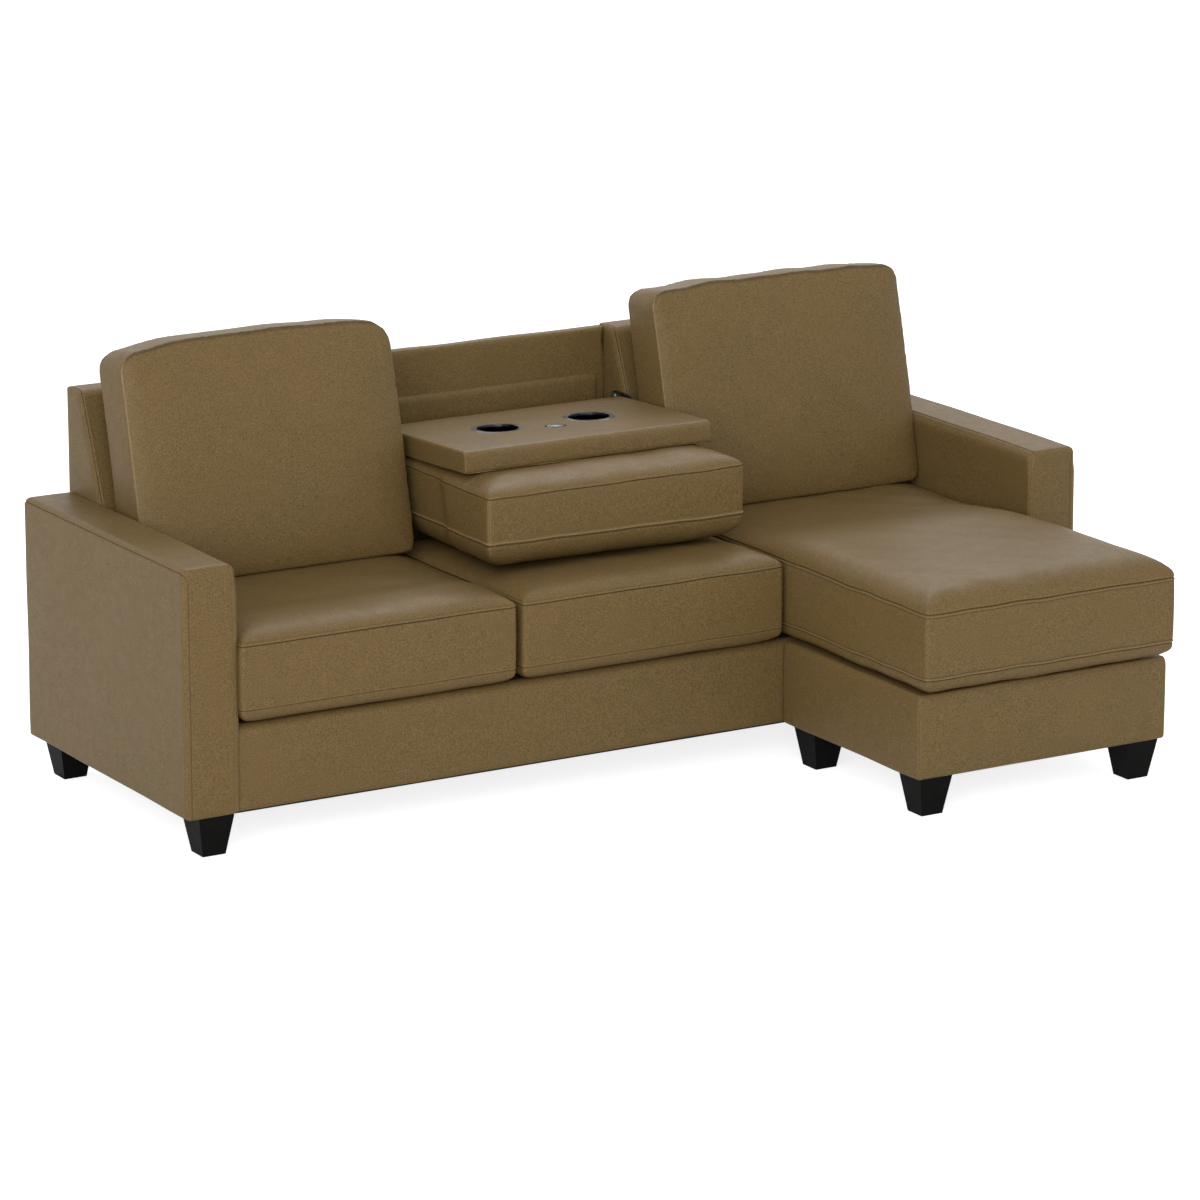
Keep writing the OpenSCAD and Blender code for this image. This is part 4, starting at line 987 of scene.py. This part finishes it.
BENDS = (0.2, 0.45, 0.7, 1)
PAD_STEP = 9 * mm
LIP_SHARE = 0.25
LIP_WIDTHS = 2.2


def rounded(raw, low, high, low_r, high_r):
    """Rounds a box's edges. The reaches of the rounding are given along each axis at its two ends."""
    low_r, high_r = np.array(low_r), np.array(high_r)
    core = np.clip(raw, low + low_r, high - high_r)
    reach = np.where(raw < core, low_r, high_r)
    out = (raw - core) / reach
    return core + out / np.linalg.norm(out, axis=1, keepdims=True) * reach


def bulge(raw, low, high, axis, end, height):
    """Outward swell of one side of a box, nothing at its edges."""
    others = [k for k in range(3) if k != axis]
    middle, half = (low + high) / 2, (high - low) / 2
    u, v = (((raw[:, k] - middle[k]) / half[k]) ** 2 for k in others)
    on_side = np.abs(raw[:, axis] - (high if end > 0 else low)[axis]) < TINY
    moved = np.zeros_like(raw)
    moved[:, axis] = end * height * np.maximum((1 - u) * (1 - v), 0) ** SIDE_BLUNTNESS * on_side
    return moved


def corner_seam(across, up, radius):
    """Distance from the edge of a panel that ends where either value turns positive, with a round corner."""
    a, b = across + radius, up + radius
    outside = np.hypot(np.maximum(a, 0), np.maximum(b, 0))
    return np.abs(outside + np.minimum(np.maximum(a, b), 0) - radius)


class Pad:
    """An upholstered box between two corners, with rounded edges, swelling sides and sewn seams."""

    def __init__(self, low, high, low_r, high_r, fine=((), (), ()), step=PAD_STEP, reaches=None):
        self.low, self.high = np.array(low), np.array(high)
        grids = []
        for k in range(3):
            bends = [self.low[k] + low_r[k] * s for s in BENDS]
            bends += [self.high[k] - high_r[k] * s for s in BENDS]
            marks = [m + s * row for m in fine[k] for s in (-1, 1) for row in SEAM_ROWS]
            grids.append(lines(self.low[k], self.high[k], bends + marks, step, [0]))
        self.skin = Skin(*grids)
        self.raw = self.skin.raw
        if reaches:
            low_r, high_r = reaches(self.raw)
        self.points = rounded(self.raw, self.low, self.high, low_r, high_r)
        self.height = np.zeros(len(self.raw))
        # Painted shade along the seams above 0, painted highlights below 0
        self.dark = np.zeros(len(self.raw))

    def swell(self, axis, end, height):
        """Lets one side bulge outwards."""
        self.points += bulge(self.raw, self.low, self.high, axis, end, height)
        return self

    def sew(self, distance, depth=SEAM_DEPTH, width=2.2 * mm, dark=1.0):
        """A groove with a line of painted shade in it, or of painted highlight where dark is below 0, and
        soft lips beside it.
        """
        self.height -= depth * groove(distance, width)
        self.height += depth * LIP_SHARE * groove(np.abs(distance) - width * LIP_WIDTHS, width)
        self.dark += dark * groove(distance, SEAM_LINE)
        return self

    def slack(self, amount, wave, seed):
        """Soft hollows and swells over the whole pad."""
        self.height += amount * unevenness(self.raw, wave, seed)
        return self

    def build(self, name, body, nodes, warp=None):
        points = warp(self.points) if warp else self.points
        points = points + self.skin.normals(points) * self.height[:, None]
        return add_piece(name, body, points, self.skin.quads, nodes, self.dark)


EDGE_R = 22 * mm
HEM_R = 8 * mm
FRONT_R = 5 * mm
BROW_R = 13 * mm
BROW_START = 20 * mm
BROW_END = 60 * mm
OUTER_R = 15 * mm
ARM_SEAM_DOWN = 6 * mm
ARM_PLUMP = (3 * mm, 4 * mm, 6 * mm)
ARM_INWARD = 4 * mm
ARM_SEAM_IN = 14 * mm
ARM_SEAM_R = 28 * mm
ARM_TOP_SEAM = 13 * mm
ARM_INNER_SEAM = 4 * mm


def build_arm(side, name):
    """An arm: a band over its top and down its front, between an outer and an inner panel."""
    low, high = box_of("arm_cover_" + name)
    high[1:] += ARM_PLUMP[1:]
    low[0] -= ARM_PLUMP[0] if side < 0 else ARM_INWARD
    high[0] += ARM_PLUMP[0] if side > 0 else ARM_INWARD
    outer = low[0] if side < 0 else high[0]
    inner = high[0] if side < 0 else low[0]
    outer_seam = outer - side * ARM_SEAM_IN
    top_seam = inner + side * ARM_TOP_SEAM
    inner_seam = inner + side * ARM_INNER_SEAM
    seam_z = high[2] - ARM_SEAM_DOWN

    def reaches(raw):
        """Tight along the outer side and down the front, fuller on the inner side and over the brow."""
        inward = np.clip((raw[:, 0] - outer) / (inner - outer), 0, 1)
        side_r = OUTER_R + (EDGE_R - OUTER_R) * inward
        below_brow = fall(raw[:, 2], high[2] - BROW_END, high[2] - BROW_START)
        front_r = BROW_R - (BROW_R - FRONT_R) * below_brow
        hem_r = np.full(len(raw), HEM_R)
        return np.stack([side_r, front_r, hem_r], -1), np.stack([side_r, hem_r, side_r], -1)

    pad = Pad(
        low, high, (EDGE_R, BROW_R, HEM_R), (EDGE_R, HEM_R, EDGE_R),
        ((outer, outer_seam, top_seam, inner_seam), (low[1],), (seam_z,)), reaches=reaches,
    )
    x, y, z = pad.raw.T
    off_outer, off_inner = np.abs(x - outer), np.abs(x - inner)
    ahead = y < low[1] + TINY
    round_front = np.where(off_outer < TINY, low[1] - y, off_outer)
    elsewhere = ~((off_outer < TINY) | ahead)
    outside = corner_seam(round_front - ARM_SEAM_IN, z - seam_z, ARM_SEAM_R) + elsewhere
    on_top = np.abs(x - top_seam) + (z < high[2] - TINY)
    bend = (ARM_TOP_SEAM - ARM_INNER_SEAM) * np.exp(-(high[2] - z) / EDGE_R)
    down_front = np.abs(off_inner - ARM_INNER_SEAM - bend) + ~ahead
    pad.swell(2, 1, 3 * mm).swell(1, -1, 2.5 * mm).swell(0, side, 4 * mm)
    # Painted shade in the seams; the line down the front gets a painted highlight
    pad.sew(outside + (round_front > 0))
    pad.sew(outside + (round_front <= 0), depth=1 * mm, width=1.8 * mm, dark=0.6)
    pad.sew(on_top, depth=1.2 * mm, width=1.8 * mm)
    pad.sew(down_front, depth=0.8 * mm, width=1.6 * mm, dark=-0.9)
    pad.slack(0.7 * mm, wave=210 * mm, seed=70 + side)
    pad.build("arm_" + name, "sofa", ["arm_cover_" + name])


build_arm(-1, "left")
build_arm(1, "right")


def build_front_rail():
    """The padded rail under the two seats."""
    low, high = box_of("front_rail_cover")
    pad = Pad(low, high, (1.5 * mm, EDGE_R, 2 * mm), (1.5 * mm, 2 * mm, EDGE_R))
    pad.swell(1, -1, 2 * mm).slack(0.5 * mm, wave=180 * mm, seed=80)
    pad.build("front_rail", "sofa", ["front_rail_cover"])


OTTOMAN_SPREAD = 6 * mm


def build_ottoman():
    """The loose base under the chaise cushion, padded, with sewn front corners."""
    low, high = box_of("ottoman_cover")
    low[0] -= OTTOMAN_SPREAD
    high[0] += OTTOMAN_SPREAD
    pad = Pad(low, high, (HEM_R, HEM_R, HEM_R), (HEM_R, HEM_R, EDGE_R))
    x, y, z = pad.raw.T
    side = np.minimum(x - low[0], high[0] - x)
    corner = np.maximum(side, y - low[1]) + (z > high[2] - 1 * mm)
    pad.swell(1, -1, 4 * mm).swell(0, -1, 4 * mm).swell(0, 1, 4 * mm)
    # Painted shade in the sewn corners
    pad.sew(corner, depth=0.6 * mm, width=2 * mm, dark=0.35)
    pad.slack(0.8 * mm, wave=190 * mm, seed=81)
    pad.build("ottoman_base", "ottoman", ["ottoman_cover"])


build_front_rail()
build_ottoman()


BACK_SLANT = math.radians(21.3)
BACK_FOOT_Z = 500 * mm
BACK_TOP_T = 62 * mm
OUTSIDE_T = 3 * mm
BEND_KEPT = 24 * mm
PANEL_SPREAD = 2 * mm
PANEL_RISE = 12 * mm
PANEL_R = 1.2 * mm
PANEL_SEAM_IN = 12 * mm
BLOCK_SPREAD = 9 * mm
BLOCK_RISE = 4 * mm
BLOCK_SEAM_IN = 7 * mm
BLOCK_SIDE_R = 9 * mm
BLOCK_TOP_R = 16 * mm
REAR_R = 3 * mm


def back_warp(low, high):
    """Leans the front of a thin upright box back over the rear frame's slope."""
    depth = high[1] - low[1]

    def warp(points):
        points = points.copy()
        y, z = points[:, 1:].T
        reach = np.maximum(high[2] - np.maximum(z, BACK_FOOT_Z), 0) * math.tan(BACK_SLANT)
        ahead = np.clip((high[1] - BEND_KEPT - y) / (depth - 2 * BEND_KEPT), 0, 1)
        points[:, 1] = y - reach * ahead
        return points
    return warp


def flat_rear(low, high, low_r, high_r):
    """Reaches for a pad whose upper edge is round at the front and tight at the rear, over the frame."""
    def reaches(raw):
        ahead = np.clip((high[1] - raw[:, 1]) * 2 / (high[1] - low[1]), 0, 1)
        upper = np.tile(high_r, (len(raw), 1))
        upper[:, 2] = REAR_R + (high_r[2] - REAR_R) * ahead
        return np.tile(low_r, (len(raw), 1)), upper
    return reaches


def build_back_block(name):
    """A padded block of the back beside the recess."""
    low, high = box_of("back_cover_" + name)
    low[1] = high[1] - (BACK_TOP_T - OUTSIDE_T)
    low[0] -= BLOCK_SPREAD * (name == "left")
    high[[0, 2]] += [BLOCK_SPREAD * (name == "right"), BLOCK_RISE]
    low_r = (BLOCK_SIDE_R, BLOCK_TOP_R, 2 * mm)
    high_r = (BLOCK_SIDE_R, REAR_R, BLOCK_TOP_R)
    pad = Pad(
        low, high, low_r, high_r, ((low[0] + BLOCK_SEAM_IN, high[0] - BLOCK_SEAM_IN), (), ()),
        reaches=flat_rear(low, high, low_r, high_r),
    )
    x, y = pad.raw[:, :2].T
    side = np.minimum(np.abs(x - low[0] - BLOCK_SEAM_IN), np.abs(x - high[0] + BLOCK_SEAM_IN))
    faces = side + (y > high[1] - 20 * mm)
    pad.swell(1, -1, 3 * mm).swell(2, 1, 2 * mm)
    # Painted shade in the seams
    pad.sew(faces, depth=1.1 * mm, width=2 * mm, dark=0.8)
    pad.slack(0.8 * mm, wave=160 * mm, seed=82)
    pad.build("back_block_" + name, "sofa", ["back_cover_" + name], back_warp(low, high))


build_back_block("left")
build_back_block("right")


def build_recess():
    """The panel behind the console and the thicker band below it."""
    low, high = box_of("recess_panel_cover")
    low_r = (1.5 * mm, 9 * mm, 2 * mm)
    high_r = (1.5 * mm, REAR_R, 9 * mm)
    pad = Pad(low, high, low_r, high_r, reaches=flat_rear(low, high, low_r, high_r))
    pad.swell(1, -1, 2 * mm).slack(0.8 * mm, wave=150 * mm, seed=83)
    pad.build("recess_panel", "sofa", ["recess_panel_cover"])
    low, high = box_of("recess_ledge")
    pad = Pad(low, high, (5 * mm, 8.5 * mm, 2 * mm), (5 * mm, 0.4 * mm, 16 * mm))
    pad.slack(0.8 * mm, wave=120 * mm, seed=84)
    pad.build("recess_band", "sofa", ["recess_ledge"])


def build_outside_back():
    """The flat panel over the back of the sofa, with a seam inside its rim."""
    low, high = box_of("outside_back_cover")
    low[0] -= PANEL_SPREAD
    high[[0, 2]] += [PANEL_SPREAD, PANEL_RISE]
    pad = Pad(low, high, (PANEL_R, PANEL_R, PANEL_R), (PANEL_R, 1.6 * mm, PANEL_R))
    x, y, z = pad.raw.T
    rim = np.minimum(np.minimum(x - low[0], high[0] - x), high[2] - z)
    seam = np.abs(rim - PANEL_SEAM_IN) + (y < high[1] - 1 * mm)
    pad.slack(0.5 * mm, wave=240 * mm, seed=85)
    # Painted shade in the seam
    pad.sew(seam, depth=0.8 * mm, width=1.8 * mm, dark=0.6)
    pad.build("outside_back", "sofa", ["outside_back_cover"])


build_recess()
build_outside_back()


# Console tray with its cups

CUP_BORE = 46.8 * mm
DISC_BORE = 22.4 * mm
BORES = {"cup_holder_left": CUP_BORE, "cup_holder_right": CUP_BORE, "console_disc": DISC_BORE}
CUT_DEPTH = 60 * mm
CUT_SIDES = 72
TRAY_BACK = 22 * mm
TRAY_SPREAD = 5 * mm
TRAY_ASIDE = 1.5 * mm
TRAY_SEAM_IN = 3 * mm
TRAY_STEP = 8 * mm


def cutter(centre, radius):
    """A round cutter across the sloping tray."""
    count = CUT_SIDES
    ring = [(radius * math.cos(2 * math.pi * i / count), radius * math.sin(2 * math.pi * i / count))
            for i in range(count)]
    points = [(x, y, z) for z in (-CUT_DEPTH, CUT_DEPTH) for x, y in ring]
    faces = [list(range(count))[::-1], list(range(count, 2 * count))]
    faces += [[i, (i + 1) % count, count + (i + 1) % count, count + i] for i in range(count)]
    made = add_mesh("cutter", points, faces)
    made.matrix_world = Matrix.Translation(centre) @ Matrix.Rotation(-TRAY_SLOPE, 4, "X")
    return made


def build_tray():
    """The upholstered tray: a band over its top and front, and sewn end panels."""
    low, high = box_of("console_tray_cover")
    depth = (high[1] - low[1] + TRAY_BACK - TRAY_T * math.sin(TRAY_SLOPE)) / math.cos(TRAY_SLOPE)
    half = (high[0] - low[0]) / 2 + TRAY_SPREAD
    flat_low = np.array([-half, 0, -TRAY_T])
    flat_high = np.array([half, depth, 0])
    pad = Pad(
        flat_low, flat_high, (3 * mm, 14 * mm, 4 * mm), (3 * mm, 9 * mm, 12 * mm),
        ((-half + TRAY_SEAM_IN, half - TRAY_SEAM_IN), (), ()), TRAY_STEP,
    )
    ends = half - np.abs(pad.raw[:, 0])
    pad.swell(2, 1, 2.5 * mm).swell(1, -1, 2 * mm)
    # A painted highlight along the end seams
    pad.sew(np.abs(ends - 2 * mm), depth=0.8 * mm, width=1.6 * mm, dark=-0.4)
    pad.slack(0.5 * mm, wave=130 * mm, seed=86)
    turn = np.array(Matrix.Rotation(-TRAY_SLOPE, 3, "X"))
    front_edge = np.array([TRAY_ASIDE, low[1] + TRAY_T * math.sin(TRAY_SLOPE), high[2]])
    base = pad.build(
        "console_tray", "console", ["console_tray_cover"],
        lambda points: points @ turn.T + front_edge,
    )
    for name, bore in BORES.items():
        near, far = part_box(name)
        hole = cutter((near + far) / 2, bore)
        cut = base.modifiers.new("cut", "BOOLEAN")
        cut.operation = "DIFFERENCE"
        cut.solver = "EXACT"
        cut.object = hole
        bpy.context.view_layer.update()
        graph = bpy.context.evaluated_depsgraph_get()
        mesh = bpy.data.meshes.new_from_object(base.evaluated_get(graph))
        base.modifiers.clear()
        base.data = mesh
        bpy.data.objects.remove(hole)


build_tray()


# Pieces whose solids stay: their finish and their softened edges

KINDS = {
    "zinc_steel": ("bolts", "screws", "pins", "clips", "springs"),
    "glide": ("glides",),
    "leg_black": ("leg",),
    "black_steel": ("hinge",),
    "cup_steel": ("cup",),
    "disc_metal": ("disc",),
    "lining": ("deck", "dust"),
    "foam": ("foam", "fill"),
    "frame_wood": ("frame", "box"),
}


def finish_of(node):
    """The finish of a kept solid: that of the first kind whose word is in its name, or else leather."""
    for name, words in KINDS.items():
        if any(word in node for word in words):
            return finishes[name]
    return leather


def mark_depth(cup):
    """Marks how far each point of a cup lies below its rim, as a share of the cup's depth."""
    points = np.array([cup.matrix_world @ corner.co for corner in cup.data.vertices])
    level = points[:, 2] + points[:, 1] * math.tan(TRAY_SLOPE)
    share = (level.max() - level) / np.ptp(level)
    cup.data.attributes.new("depth", "FLOAT", "POINT").data.foreach_set("value", share)


mark_depth(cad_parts["cup_holder_left"])
mark_depth(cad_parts["cup_holder_right"])

BEVELS = {
    "leg": 1.6 * mm, "hinge_arm": 0.7 * mm, "hinge_plate": 0.7 * mm, "cup": 0.4 * mm, "disc": 0.3 * mm,
}

for node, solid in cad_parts.items():
    solid.data.materials.clear()
    solid.data.materials.append(finish_of(node))
    kind = next((word for word in BEVELS if word in node and "bolts" not in node), None)
    if kind and not solid.hide_render:
        bevel = solid.modifiers.new("edges", "BEVEL")
        bevel.width = BEVELS[kind]
        bevel.segments = 3
        bevel.limit_method = "ANGLE"
        bevel.angle_limit = math.radians(30)
        bevel.harden_normals = True


# Floor, world and lamps

FLOOR_SIZE = 60
FLOOR_GLOW = 0.8
GLOSS_GLOW = 0.3


def seen_directly(f, in_gloss=1):
    """How far a ray shows the white surroundings: 1 from the camera, a share in gloss or glass."""
    camera_ray, glossy, through = [f.node("ShaderNodeLightPath", output=name) for name in
                                   ("Is Camera Ray", "Is Glossy Ray", "Is Transmission Ray")]
    indirect = (glossy + through) * in_gloss
    return f.node("ShaderNodeMath", {"operation": "ADD", "use_clamp": True}, {0: camera_ray, 1: indirect})


def build_floor():
    """A pale floor that catches shadows and glows white where the camera sees it."""
    f = Finish(bpy.data.materials.new("pale_floor"))
    seen = seen_directly(f, GLOSS_GLOW)
    cloud = f.noise(f.place(), scale=3, detail=2, roughness=0.5)
    paint = f.node(
        "ShaderNodeBsdfPrincipled", {},
        {
            "Base Color": f.mix(cloud, (0.78, 0.78, 0.78, 1), (0.8, 0.8, 0.8, 1)),
            "Roughness": 0.9, "Specular IOR Level": 0.0,
        },
    )
    glow = f.node("ShaderNodeEmission", {}, {"Color": (1, 1, 1, 1), "Strength": seen * FLOOR_GLOW})
    f.show(f.node("ShaderNodeAddShader", {}, {0: paint, 1: glow}))
    half = FLOOR_SIZE / 2
    corners = [(-half, -half, 0), (half, -half, 0), (half, half, 0), (-half, half, 0)]
    floor = add_mesh("floor", corners, [(0, 1, 2, 3)])
    floor.data.materials.append(f.owner)


AMBIENT = 0.77
LAMP_AIM = Vector((0, 0, 0.4))


def build_world():
    """White surroundings that look brighter than they light the sofa."""
    world = bpy.data.worlds.new("studio")
    scene.world = world
    f = Finish(world)
    strength = seen_directly(f) * (1 - AMBIENT) + AMBIENT
    sky = f.node("ShaderNodeBackground", {}, {"Color": (1, 1, 1, 1), "Strength": strength})
    f.node("ShaderNodeOutputWorld", {}, {"Surface": sky})


def softbox(name, place, size, power):
    """A rectangular lamp that faces the middle of the sofa."""
    data = bpy.data.lights.new(name, "AREA")
    data.shape = "RECTANGLE"
    data.size, data.size_y = size
    data.energy = power
    lamp = add_object(name, data)
    lamp.location = place
    lamp.rotation_euler = (LAMP_AIM - Vector(place)).to_track_quat("-Z", "Y").to_euler()


build_floor()
build_world()
softbox("rear_strip", (2.2, 3.4, 4.4), (3.6, 1.2), 66)
softbox("front_fill", (-7.0, -9.0, 4.5), (8.0, 6.0), 600)

scene.view_settings.view_transform = "Standard"
